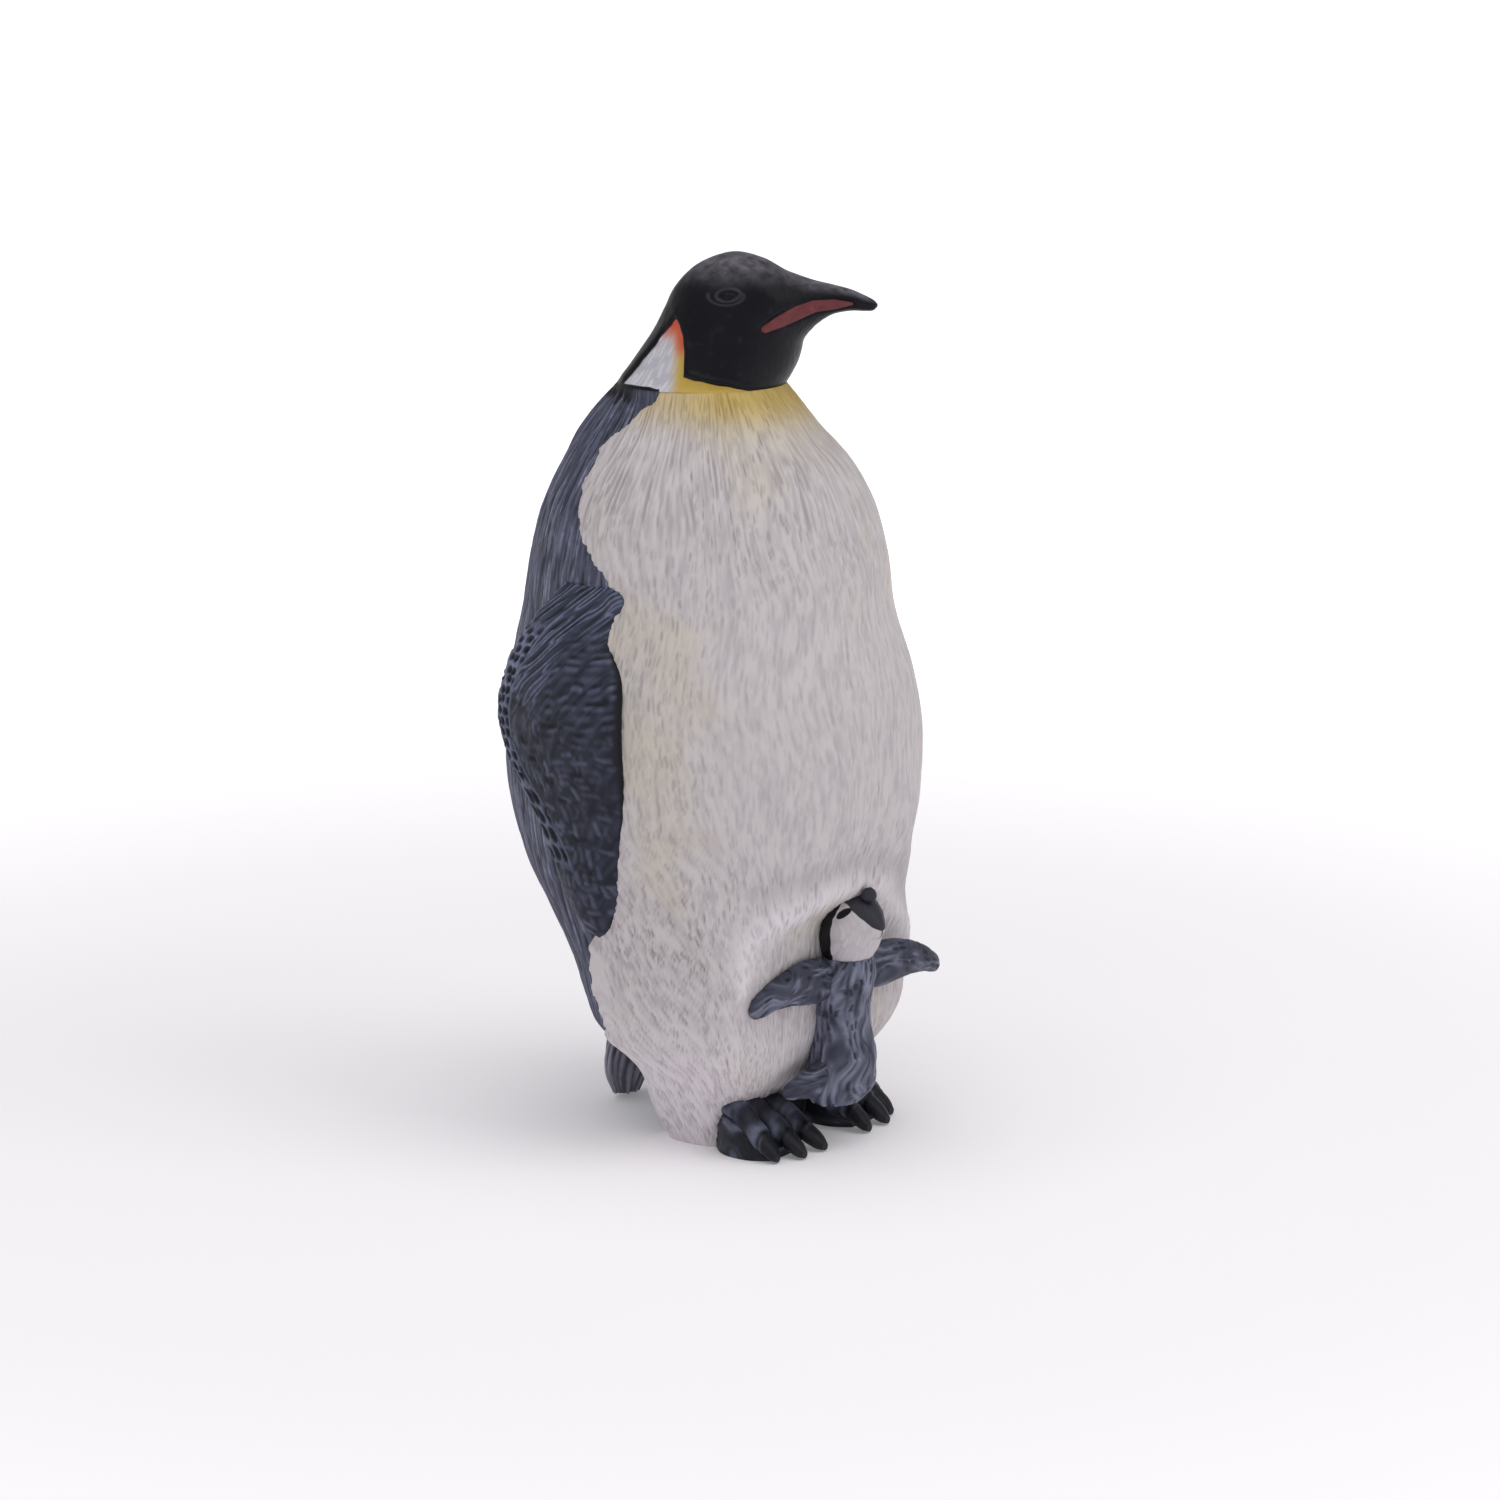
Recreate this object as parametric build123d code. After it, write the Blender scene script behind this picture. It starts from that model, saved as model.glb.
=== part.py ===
from build123d import *
import os
from collections import namedtuple
from math import copysign, cos, pi, radians, sin

# A standing penguin with a chick on its feet: a hollow body in two shells, with solid castings
# glued in by pegs. Sizes are in millimetres and degrees. The bird faces -Y, its left is +X, and
# the origin is on the standing surface under the axis of the body.

# Body, from the sole up to the neck. Each section is two half ovals that meet on a seam, which leans
# back from SEAM_FOOT at the sole to the middle of the neck; front and back are measured from it.
# Bluntness 2 makes the front half an ellipse, and more makes it squarer.
BodySection = namedtuple("BodySection", "height half_width front back bluntness")
BODY = [
    BodySection(0.0, 8.8, 4.8, 5.0, 3.4),
    BodySection(3.0, 11.2, 6.0, 6.2, 3.2),
    BodySection(5.2, 12.2, 8.3, 6.3, 3.4),
    BodySection(7.5, 13.2, 10.5, 6.6, 4.2),
    BodySection(9.0, 14.3, 11.4, 7.9, 4.5),
    BodySection(11.0, 16.2, 12.1, 11.2, 4.8),
    BodySection(15.0, 17.7, 12.6, 13.1, 5.0),
    BodySection(19.5, 18.4, 13.3, 15.0, 4.4),
    BodySection(23.0, 18.9, 14.4, 17.4, 3.2),
    BodySection(28.0, 19.5, 17.6, 20.6, 2.3),
    BodySection(35.0, 19.9, 20.4, 22.9, 2.0),
    BodySection(42.0, 20.0, 21.1, 22.8, 2.0),
    BodySection(48.0, 19.3, 20.4, 21.7, 2.0),
    BodySection(54.0, 18.1, 18.6, 20.1, 2.0),
    BodySection(60.0, 17.3, 18.2, 18.6, 2.0),
    BodySection(65.0, 15.9, 17.1, 16.8, 2.0),
    BodySection(69.0, 13.6, 15.0, 14.7, 2.0),
    BodySection(72.0, 11.3, 12.2, 13.2, 2.0),
    BodySection(74.5, 9.5, 10.3, 10.9, 2.0),
    BodySection(76.5, 8.4, 8.6, 8.5, 2.0),
]
SEAM_FOOT = -3.6
HALF_STEPS = 8

# Hollow of the body and the joint between its shells
WALL = 2.4
FLOOR = 14.0
CAVITY_TOP = 69.0
PIN_HEIGHTS = (26.0, 60.0)
PIN_RADIUS = 1.0
PIN_LENGTH = 3.0
BOSS_RADIUS = 2.3
BOSS_LENGTH = 6.0
FIT = 0.1
GLUE = 0.05
ROOT = 1.0

# Head: level ovals from the neck joint up to the crown, then upright ovals along the bill. rise is
# the height above the joint, and forward is measured from the middle of the neck.
HeadSection = namedtuple("HeadSection", "rise back front half_width")
HEAD = [
    HeadSection(0.0, 8.5, 8.5, 8.5),
    HeadSection(1.5, 7.4, 9.3, 7.9),
    HeadSection(3.5, 6.0, 10.0, 7.2),
    HeadSection(5.5, 4.7, 10.3, 6.7),
    HeadSection(7.5, 3.7, 10.2, 6.2),
    HeadSection(9.5, 2.7, 9.6, 5.6),
    HeadSection(11.4, 1.0, 8.0, 4.4),
    HeadSection(12.6, -1.0, 6.1, 2.8),
]
CROWN_RISE = 13.2
CROWN_FORWARD = 3.3
BillSection = namedtuple("BillSection", "forward low high half_width")
BILL = [
    BillSection(6.0, 5.5, 11.5, 3.6),
    BillSection(9.0, 5.4, 11.2, 3.1),
    BillSection(11.0, 5.8, 10.4, 2.4),
    BillSection(13.0, 6.85, 9.95, 1.85),
    BillSection(15.0, 7.4, 9.55, 1.4),
    BillSection(16.6, 7.5, 8.9, 0.9),
]
BILL_TIP_FORWARD = 17.5
BILL_TIP_RISE = 8.05
NECK_BACK = 0.8
HEAD_TURN = 30.0
PLUG_RADIUS = 4.5
PLUG_LENGTH = 6.0

# Flippers: ovals that lie on the side of the body. angle goes from the breast round to the back.
FlipperSection = namedtuple("FlipperSection", "height angle half_chord half_thickness")
FLIPPER = [
    FlipperSection(58.0, 95.0, 3.6, 0.9),
    FlipperSection(54.0, 101.0, 6.4, 1.9),
    FlipperSection(49.0, 106.0, 8.4, 2.6),
    FlipperSection(44.5, 107.0, 9.0, 2.9),
    FlipperSection(40.0, 104.0, 8.0, 2.8),
    FlipperSection(36.0, 100.0, 6.2, 2.6),
    FlipperSection(32.0, 98.0, 4.7, 2.4),
    FlipperSection(27.0, 96.5, 3.3, 2.2),
    FlipperSection(23.2, 96.0, 1.5, 1.6),
]
FLIPPER_FLARE = 5.0
FLIPPER_SINK = 0.7
FLIPPER_PEG_HEIGHT = 46.0
FLIPPER_PEG_ANGLE = 106.0
FLIPPER_PEG_RADIUS = 1.6
FLIPPER_PEG_REACH = 3.4

# Tail: ovals square to a line that runs back and down from the rump
TailSection = namedtuple("TailSection", "back height half_width half_thickness")
TAIL = [
    TailSection(4.0, 13.0, 3.6, 2.0),
    TailSection(8.2, 9.0, 3.8, 2.2),
    TailSection(10.2, 5.0, 3.6, 1.9),
    TailSection(10.9, 0.6, 2.6, 1.0),
]
TAIL_PEG_RADIUS = 1.3
TAIL_PEG_LENGTH = 4.4

# Feet: an arched instep with a flat sole, and three toes with claws
InstepSection = namedtuple("InstepSection", "forward half_width height")
INSTEP = [
    InstepSection(7.0, 2.2, 4.8),
    InstepSection(9.0, 3.0, 5.4),
    InstepSection(11.8, 3.4, 5.0),
    InstepSection(13.6, 3.0, 3.4),
]
FOOT_SPACING = 7.1
ToeSection = namedtuple("ToeSection", "share height half_width half_height")
TOE = [
    ToeSection(0.0, 3.2, 1.05, 1.25),
    ToeSection(0.35, 2.7, 1.15, 1.2),
    ToeSection(0.7, 1.5, 1.0, 1.0),
    ToeSection(0.88, 0.85, 0.55, 0.6),
]
TOE_ROOT = 11.5
TOE_TIP_HEIGHT = 0.2
CLAWS = ((-2.9, 16.1), (-0.3, 17.5), (2.9, 17.3))
TOE_SPREAD = 0.72
FOOT_PEG_RADIUS = 1.3
FOOT_PEG_HEIGHT = 2.3
FOOT_PEG_LENGTH = 4.0

# Fold of the belly that hangs over the chick: ovals along an arch on the skin, from the right side up
# to the middle, and mirrored from there
PouchSection = namedtuple("PouchSection", "angle height half_width")
POUCH = [
    PouchSection(61.0, 18.8, 0.8),
    PouchSection(58.0, 21.5, 1.7),
    PouchSection(52.0, 24.6, 2.2),
    PouchSection(43.0, 27.0, 2.3),
    PouchSection(30.0, 28.6, 2.0),
    PouchSection(15.0, 29.6, 1.7),
    PouchSection(0.0, 30.0, 1.6),
]
POUCH_THICKNESS = 1.1
POUCH_SINK = 0.5

# Chick, about its own upright axis
CHICK_STAND_OFF = 1.6
CHICK_MIDDLE = 12.5
CHICK_TURN = -9.0
ChickSection = namedtuple("ChickSection", "height half_width half_depth forward")
CHICK_BODY = [
    ChickSection(4.8, 2.6, 2.2, 0.3),
    ChickSection(6.2, 3.7, 3.2, 0.3),
    ChickSection(8.6, 3.7, 3.5, 0.2),
    ChickSection(12.5, 3.0, 3.1, 0.0),
    ChickSection(15.0, 2.9, 2.8, 0.1),
    ChickSection(17.8, 3.4, 2.9, 0.4),
    ChickSection(19.8, 2.5, 2.5, 0.8),
]
CHICK_HEAD = [
    ChickSection(19.8, 2.5, 2.5, 0.8),
    ChickSection(21.3, 3.0, 3.1, 1.1),
    ChickSection(23.2, 3.2, 3.3, 1.3),
    ChickSection(25.0, 2.6, 2.7, 1.2),
]
CHICK_CROWN = (26.3, 1.1)
CHICK_BILL_RISE = 1.0
CHICK_BILL_RADIUS = 1.7
CHICK_BILL_REACH = 3.9
CHICK_BILL_DROOP = 24.0
CHICK_BILL_TAPER = 16.0
CHICK_TUFT_FORWARD = 3.0
CHICK_TUFT_RISE = 2.5
CHICK_TUFT_RADIUS = 0.9
ChickLimb = namedtuple("ChickLimb", "out height forward half_chord half_thickness")
CHICK_WING = [
    ChickLimb(1.8, 17.6, 0.3, 1.8, 1.0),
    ChickLimb(5.0, 18.0, 0.7, 2.3, 1.2),
    ChickLimb(8.6, 18.0, 0.9, 1.8, 1.2),
    ChickLimb(11.6, 17.4, 0.8, 1.15, 0.9),
    ChickLimb(13.4, 16.7, 0.5, 0.6, 0.5),
]
CHICK_TAIL = [
    ChickLimb(1.0, 7.8, 0.4, 2.0, 1.6),
    ChickLimb(4.4, 7.0, 0.4, 1.7, 1.4),
    ChickLimb(6.6, 6.6, 0.0, 0.8, 0.8),
]
CHICK_PEG_RADIUS = 1.0
CHICK_PEG_LENGTH = 2.6
CHICK_BODY_PEG_HEIGHT = 11.0
CHICK_NECK_PEG_LENGTH = 2.0
POCKET_DEPTH = 2.4
POCKET_TOP = 25.0

FRONT = -1
BACK = 1


def section_at(height):
    """Body section at any height, between the two sections that stand above and below it."""
    for low, high in zip(BODY, BODY[1:]):
        if height <= high.height:
            break
    share = (height - low.height) / (high.height - low.height)
    return BodySection(*(a + share * (b - a) for a, b in zip(low, high)))


def seam(height):
    """Where the seam stands, front to back, at a height."""
    return SEAM_FOOT + (NECK_BACK - SEAM_FOOT) * height / BODY[-1].height


def half_oval(section, side, grow=0.0, extra_front=0.0):
    """Face of the front or back half of a body section, grown outwards or shrunk."""
    width = section.half_width + grow
    depth = section.back + grow
    power = 1.0
    if side == FRONT:
        depth = section.front + grow - extra_front
        power = 2.0 / section.bluntness
    points = []
    for step in range(HALF_STEPS + 1):
        angle = pi * step / HALF_STEPS
        across = copysign(abs(cos(angle)) ** power, cos(angle))
        outwards = side * depth * abs(sin(angle)) ** power
        points.append((width * across, seam(section.height) + outwards, section.height))
    leave = Vector(0, (points[1][1] - points[0][1]) * HALF_STEPS, 0)
    steps = [step / HALF_STEPS for step in range(HALF_STEPS + 1)]
    curve = Edge.make_spline(points, [leave, -leave], parameters=steps, scale=False)
    return make_face([curve, Line(points[-1], points[0])])


def body_half(side, grow=0.0):
    """Solid front or back half of the body."""
    return loft([half_oval(section, side, grow) for section in BODY])


def cavity_half(side):
    """Hollow of one half. The front wall is thicker where the chick's pocket is sunk into it."""
    between = [s for s in BODY if FLOOR + ROOT < s.height < CAVITY_TOP - ROOT]
    sections = [section_at(FLOOR)] + between + [section_at(CAVITY_TOP)]
    faces = []
    for section in sections:
        pocket = POCKET_DEPTH if section.height < POCKET_TOP else 0.0
        faces.append(half_oval(section, side, -WALL, pocket))
    return loft(faces)


def rod(start, end, radius):
    """Round rod from one point to another."""
    axis = Vector(end) - Vector(start)
    return Plane(origin=start, z_dir=axis) * extrude(Circle(radius), axis.length)


def pin_places():
    """Seam points of the locating pins, just inside the wall on both sides."""
    places = []
    for height in PIN_HEIGHTS:
        reach = section_at(height).half_width - WALL
        places += [Vector(-reach, seam(height), height), Vector(reach, seam(height), height)]
    return places


def shell(side):
    """Half of the hollow body, with bosses for the locating pins and the bore for the neck plug."""
    solid = body_half(side)
    hollow = solid - cavity_half(side)
    inwards = Vector(0, side, 0)
    for place in pin_places():
        boss = rod(place - inwards * ROOT, place + inwards * BOSS_LENGTH, BOSS_RADIUS)
        hollow += boss & solid
    neck = BODY[-1].height
    bore = rod((0, NECK_BACK, CAVITY_TOP - ROOT), (0, NECK_BACK, neck + ROOT), PLUG_RADIUS + FIT)
    return hollow - bore


def upright(x, forward, height):
    """Plane across the bird, looking forward, with its Y axis up."""
    return Plane(origin=(x, -forward, height), x_dir=(1, 0, 0), z_dir=(0, -1, 0))


def skull():
    """Neck and cranium, rounded off at the crown."""
    slices = []
    for section in HEAD:
        oval = Ellipse(section.half_width, (section.front + section.back) / 2)
        slices.append(Pos(0, (section.back - section.front) / 2, section.rise) * oval)
    return loft(slices + [Vertex(0, -CROWN_FORWARD, CROWN_RISE)])


def bill():
    """Bill that grows out of the face and droops to its tip."""
    slices = []
    for section in BILL:
        oval = Ellipse(section.half_width, (section.high - section.low) / 2)
        slices.append(upright(0, section.forward, (section.high + section.low) / 2) * oval)
    return loft(slices + [Vertex(0, -BILL_TIP_FORWARD, BILL_TIP_RISE)])


def head():
    """Head, hood and bill in one casting, with its plug, turned on the neck."""
    solid = skull() + bill() + rod((0, 0, -PLUG_LENGTH), (0, 0, ROOT), PLUG_RADIUS)
    return Pos(0, NECK_BACK, BODY[-1].height) * Rot(0, 0, HEAD_TURN) * solid


def body_reach(height, angle):
    """Distance from the seam's middle to the skin, at an angle from the breast round to the back."""
    section = section_at(height)
    depth, power = section.front, section.bluntness
    if cos(angle) < 0:
        depth, power = section.back, 2.0
    ratio = abs(sin(angle) / section.half_width) ** power + abs(cos(angle) / depth) ** power
    return ratio ** (-1 / power)


def on_body(height, angle, out=0.0):
    """Point on the right side of the body, at a distance out from its skin."""
    turn = radians(angle)
    reach = body_reach(height, turn) + out
    return (-reach * sin(turn), seam(height) - reach * cos(turn), height)


def flipper():
    """Long right flipper laid along the side of the body."""
    slices = []
    for section in FLIPPER:
        centre = on_body(section.height, section.angle, -FLIPPER_SINK)
        oval = Ellipse(section.half_thickness, section.half_chord)
        slices.append(Pos(*centre) * Rot(0, 0, FLIPPER_FLARE - 90 - section.angle) * oval)
    return loft(slices)


def flipper_peg(clearance):
    """Peg that holds the flipper, or with a clearance its hole."""
    start = on_body(FLIPPER_PEG_HEIGHT, FLIPPER_PEG_ANGLE, -FLIPPER_PEG_REACH - clearance)
    end = on_body(FLIPPER_PEG_HEIGHT, FLIPPER_PEG_ANGLE, ROOT)
    return rod(start, end, FLIPPER_PEG_RADIUS + clearance)


def tail():
    """Wedge tail that runs up into the rump."""
    slices = []
    for index, section in enumerate(TAIL):
        low = TAIL[max(index - 1, 0)]
        high = TAIL[min(index + 1, len(TAIL) - 1)]
        along = (0, high.back - low.back, high.height - low.height)
        plane = Plane(origin=(0, section.back, section.height), x_dir=(1, 0, 0), z_dir=along)
        slices.append(plane * Ellipse(section.half_width, section.half_thickness))
    return loft(slices)


def tail_peg(clearance):
    """Peg of the tail, or with a clearance its hole."""
    root = Vector(0, TAIL[1].back, TAIL[1].height)
    seat = Vector(0, TAIL[0].back, TAIL[0].height)
    inwards = (seat - root).normalized()
    end = root + inwards * (TAIL_PEG_LENGTH + clearance)
    return rod(root, end, TAIL_PEG_RADIUS + clearance)


def foot_seat():
    """Forward distance of the belly's skin where the foot's peg goes in."""
    section = section_at(FOOT_PEG_HEIGHT)
    share = 1 - (FOOT_SPACING / section.half_width) ** section.bluntness
    return section.front * share ** (1 / section.bluntness) - seam(section.height)


def foot_peg(clearance):
    """Peg of the right foot, or with a clearance its hole."""
    start = (-FOOT_SPACING, -foot_seat() - ROOT, FOOT_PEG_HEIGHT)
    end = (-FOOT_SPACING, -foot_seat() + FOOT_PEG_LENGTH + clearance, FOOT_PEG_HEIGHT)
    return rod(start, end, FOOT_PEG_RADIUS + clearance)


def instep():
    """Arched top of the foot over a flat sole."""
    slices = []
    for section in INSTEP:
        arch = EllipticalCenterArc((0, 0), section.half_width, section.height, 0, arc_size=180)
        outline = make_face([arch, Line(arch @ 1, arch @ 0)])
        slices.append(upright(-FOOT_SPACING, section.forward, 0) * outline)
    return loft(slices)


def toe(claw_side, claw_forward):
    """Toe that arches forward and down from the instep to its claw."""
    slices = []
    for section in TOE:
        side = claw_side * (TOE_SPREAD + (1 - TOE_SPREAD) * section.share)
        forward = TOE_ROOT + section.share * (claw_forward - TOE_ROOT)
        plane = upright(side - FOOT_SPACING, forward, section.height)
        slices.append(plane * Ellipse(section.half_width, section.half_height))
    tip = Vertex(claw_side - FOOT_SPACING, -claw_forward, TOE_TIP_HEIGHT)
    return loft(slices + [tip])


def foot():
    """Right foot: the instep and its toes."""
    solid = instep()
    for claw_side, claw_forward in CLAWS:
        solid += toe(claw_side, claw_forward)
    return solid


def left_of(solid):
    """Mirror image of a piece from the right side of the bird."""
    return mirror(solid, about=Plane.YZ)


def pouch():
    """Rounded fold along its arch, half sunk in the belly."""
    left_half = [section._replace(angle=-section.angle) for section in reversed(POUCH[:-1])]
    sections = POUCH + left_half
    points = [Vector(on_body(s.height, s.angle, -POUCH_SINK)) for s in sections]
    slices = []
    for index, section in enumerate(sections):
        along = points[min(index + 1, len(points) - 1)] - points[max(index - 1, 0)]
        outwards = Vector(on_body(section.height, section.angle)) - points[index]
        plane = Plane(origin=points[index], x_dir=outwards, z_dir=along)
        slices.append(plane * Ellipse(POUCH_THICKNESS, section.half_width))
    return loft(slices)


def place_chick(solid):
    """Move a solid from the chick's own axis to its place in front of the belly."""
    forward = section_at(CHICK_MIDDLE).front - seam(CHICK_MIDDLE) + CHICK_STAND_OFF
    return Pos(0, -forward, 0) * Rot(0, 0, CHICK_TURN) * solid


def chick_slices(sections, grow):
    """Level ovals of the chick's body or head."""
    slices = []
    for section in sections:
        oval = Ellipse(section.half_width + grow, section.half_depth + grow)
        slices.append(Pos(0, -section.forward, section.height) * oval)
    return slices


def chick_trunk(grow=0.0):
    """Chick's body from its seat on the feet up to the neck."""
    return loft(chick_slices(CHICK_BODY, grow))


def chick_skull(grow=0.0):
    """Chick's round head, without its bill."""
    crown = Vertex(0, -CHICK_CROWN[1], CHICK_CROWN[0] + grow)
    return loft(chick_slices(CHICK_HEAD, grow) + [crown])


def chick_tuft(grow=0.0):
    """Tuft of down at the front of the chick's crown."""
    height = CHICK_HEAD[2].height + CHICK_TUFT_RISE
    return Pos(0, -CHICK_TUFT_FORWARD, height) * Sphere(CHICK_TUFT_RADIUS + grow)


def chick_neck_peg(clearance):
    """Peg under the chick's head, or with a clearance its hole."""
    neck = CHICK_HEAD[0]
    low = (0, -neck.forward, neck.height - CHICK_NECK_PEG_LENGTH - clearance)
    return rod(low, (0, -neck.forward, neck.height + ROOT), CHICK_PEG_RADIUS + clearance)


def chick_body_peg(clearance):
    """Peg from the chick's back into the belly, or with a clearance its hole."""
    height = CHICK_BODY_PEG_HEIGHT
    back = CHICK_PEG_LENGTH + clearance
    end = (0, CHICK_BODY[3].half_depth + back, height)
    return rod((0, 0, height), end, CHICK_PEG_RADIUS + clearance)


def chick_head():
    """Skull with a tuft, and a short bill that droops over the face."""
    turn = radians(CHICK_BILL_DROOP)
    face = CHICK_HEAD[2]
    base = (0, -face.forward, face.height + CHICK_BILL_RISE)
    aim = Plane(origin=base, z_dir=(0, -cos(turn), -sin(turn)))
    bill = aim * extrude(Circle(CHICK_BILL_RADIUS), CHICK_BILL_REACH, taper=CHICK_BILL_TAPER)
    return chick_skull() + bill + chick_tuft() + chick_neck_peg(0.0)


def chick_limb(sections):
    """Limb on the chick's left, held out to the side."""
    slices = []
    for section in sections:
        centre = (section.out, -section.forward, section.height)
        plane = Plane(origin=centre, x_dir=(0, 1, 0), z_dir=(1, 0, 0))
        slices.append(plane * Ellipse(section.half_thickness, section.half_chord))
    return loft(slices)


front_body = body_half(FRONT, GLUE)
back_body = body_half(BACK, GLUE)


def off_body(solid):
    """What of a solid stands outside the body."""
    return solid - front_body - back_body


pocket = place_chick(chick_trunk(GLUE) + chick_skull(GLUE) + chick_tuft(GLUE))

foot_room = foot()
parts = {}
parts["head"] = head()
parts["right_flipper"] = off_body(flipper()) + flipper_peg(0.0)
parts["left_flipper"] = left_of(parts["right_flipper"])
parts["tail"] = off_body(tail()) + tail_peg(0.0)
parts["right_foot"] = off_body(foot_room) + foot_peg(0.0)
parts["left_foot"] = left_of(parts["right_foot"])

trunk = place_chick(chick_trunk() - chick_neck_peg(FIT) + chick_body_peg(0.0))
swept_tail = off_body(place_chick(left_of(chick_limb(CHICK_TAIL))))
chick = trunk + swept_tail
parts["chick_body"] = chick - foot_room - left_of(foot_room)
parts["chick_head"] = place_chick(chick_head())
wing = chick_limb(CHICK_WING)
parts["chick_left_flipper"] = off_body(place_chick(wing) - pocket)
parts["chick_right_flipper"] = off_body(place_chick(left_of(wing)) - pocket)

belly = shell(FRONT) + pouch() - pocket - place_chick(chick_body_peg(FIT))
back = shell(BACK) - tail_peg(FIT)
forward = Vector(0, -1, 0)
for place in pin_places():
    belly += rod(place + forward * BOSS_LENGTH / 2, place - forward * PIN_LENGTH, PIN_RADIUS)
    back -= rod(place + forward, place - forward * (PIN_LENGTH + FIT), PIN_RADIUS + FIT)
parts["belly_shell"] = belly - foot_peg(FIT) - left_of(foot_peg(FIT))
parts["back_shell"] = back - flipper_peg(FIT) - left_of(flipper_peg(FIT))

os.makedirs("parts", exist_ok=True)
for name, part in parts.items():
    export_step(part, f"parts/{name}.step")
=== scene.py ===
import bpy
import numpy as np
from mathutils import Matrix


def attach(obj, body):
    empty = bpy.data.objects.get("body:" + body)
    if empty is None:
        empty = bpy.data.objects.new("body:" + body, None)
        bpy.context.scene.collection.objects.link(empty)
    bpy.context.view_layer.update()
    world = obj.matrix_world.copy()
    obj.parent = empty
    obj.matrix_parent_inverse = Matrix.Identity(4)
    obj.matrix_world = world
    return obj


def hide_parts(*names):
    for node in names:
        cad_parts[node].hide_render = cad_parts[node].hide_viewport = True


# Penguin figurine with a chick. Sizes are in millimetres until a mesh is made, angles in degrees.
# The bird faces -Y, its left is +X, and the origin is on the floor under its body.
mm = 0.001
crispAngle = 75  # edges sharper than this are shaded crisp
mirror = np.array([-1.0, 1.0, 1.0])  # right side to left
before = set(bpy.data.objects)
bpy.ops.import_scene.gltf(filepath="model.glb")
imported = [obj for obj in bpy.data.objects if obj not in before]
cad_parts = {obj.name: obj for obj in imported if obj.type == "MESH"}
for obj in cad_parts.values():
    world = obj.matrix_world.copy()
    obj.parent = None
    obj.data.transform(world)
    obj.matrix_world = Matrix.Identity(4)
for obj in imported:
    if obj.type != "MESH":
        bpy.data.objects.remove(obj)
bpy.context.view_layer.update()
print("frame loaded with", len(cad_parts), "nodes")


def readTable(rows, x):
    # smooth curve through every column of a table, over its first column: cubic pieces whose slope at a
    # row is the mean of the slopes on its two sides
    rows = np.array(rows, float)
    knots, columns = rows[:, 0], rows[:, 1:]
    steps = np.diff(knots)[:, None]
    rise = np.diff(columns, axis=0) / steps
    slope = np.empty_like(columns)
    slope[0], slope[-1] = rise[0], rise[-1]
    slope[1:-1] = (rise[:-1] * steps[1:] + rise[1:] * steps[:-1]) / (steps[1:] + steps[:-1])
    x = np.asarray(x, float)
    k = np.clip(np.searchsorted(knots, x, side="right") - 1, 0, len(knots) - 2)
    width = (knots[k + 1] - knots[k])[..., None]
    t = np.clip((x - knots[k])[..., None] / width, 0, 1)
    curve = columns[k] * (1 + 2 * t) * (1 - t) ** 2 + columns[k + 1] * t * t * (3 - 2 * t)
    curve += width * (slope[k] * t * (1 - t) ** 2 - slope[k + 1] * t * t * (1 - t))
    return np.moveaxis(curve, -1, 0)


def ramp(x, low, high):
    # 0 below low, 1 above high, eased in between
    t = np.clip((x - low) / (high - low), 0, 1)
    return t * t * (3 - 2 * t)


def bell(x, width):
    # 1 at zero, falling away on both sides like a bell
    return np.exp(-(x / width) ** 2)


def chance(i, j, seed):
    # repeatable random number from 0 to 1 for each pair of whole numbers
    spread = np.sin(i * 127.1 + j * 311.7 + seed * 74.7) * 43758.5453
    return spread - np.floor(spread)


def cloud(x, y, seed):
    # soft noise from 0 to 1: a random number on each corner of a unit lattice, eased across the cell
    i, j = np.floor(x), np.floor(y)
    s, t = ramp(x - i, 0, 1), ramp(y - j, 0, 1)
    low = chance(i, j, seed) * (1 - s) + chance(i + 1, j, seed) * s
    high = chance(i, j + 1, seed) * (1 - s) + chance(i + 1, j + 1, seed) * s
    return low * (1 - t) + high * t


def strokes(across, along, width, length, seed, wander=0.9):
    # tooled strokes: wavering columns one width wide, each cut into strokes of its own length and start.
    # A stroke is a rounded ridge that tapers at both ends. Gives ridge height and a tone for each stroke
    column = across / width + wander * (cloud(across / width * 0.45, along / length * 1.3, seed) - 0.5)
    c = np.floor(column)
    row = along / (length * (0.7 + 0.6 * chance(c, 0 * c, seed + 1))) + 9 * chance(c, 0 * c + 3, seed + 2)
    r = np.floor(row)
    crest = np.sin(np.pi * (column - c)) ** 0.8
    taper = ramp(row - r, 0, 0.22) * (1 - ramp(row - r, 0.68, 1))
    return crest * taper * (0.45 + 0.55 * chance(c, r, seed + 3)), chance(c, r, seed + 4)


def strands(across, along, width, length, seed):
    # combed strands from 0 to 1: soft noise stretched along the flow, in two widths
    wide = cloud(across / width, along / length, seed)
    thin = cloud(across / (0.55 * width), along / (0.6 * length), seed + 1)
    return 0.6 * wide + 0.4 * thin


def wires(across, along, width, length, seed):
    # thin raised lines, all about as wide: where stretched noise passes through its middle value, measured in
    # steps of the grid by dividing by the slope of the noise
    leastSlope, lineWidth = 0.004, 1.2
    middle = cloud(across / width, along / length, seed) - 0.5
    slope = np.hypot(*np.gradient(middle)) + leastSlope
    return bell(middle / slope, lineWidth)


def cuts(across, along, width, length, seed, share):
    # short tooled cuts: those strokes whose tone is below share
    ridge, tone = strokes(across, along, width, length, seed)
    return ridge ** 2 * (tone < share)


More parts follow.
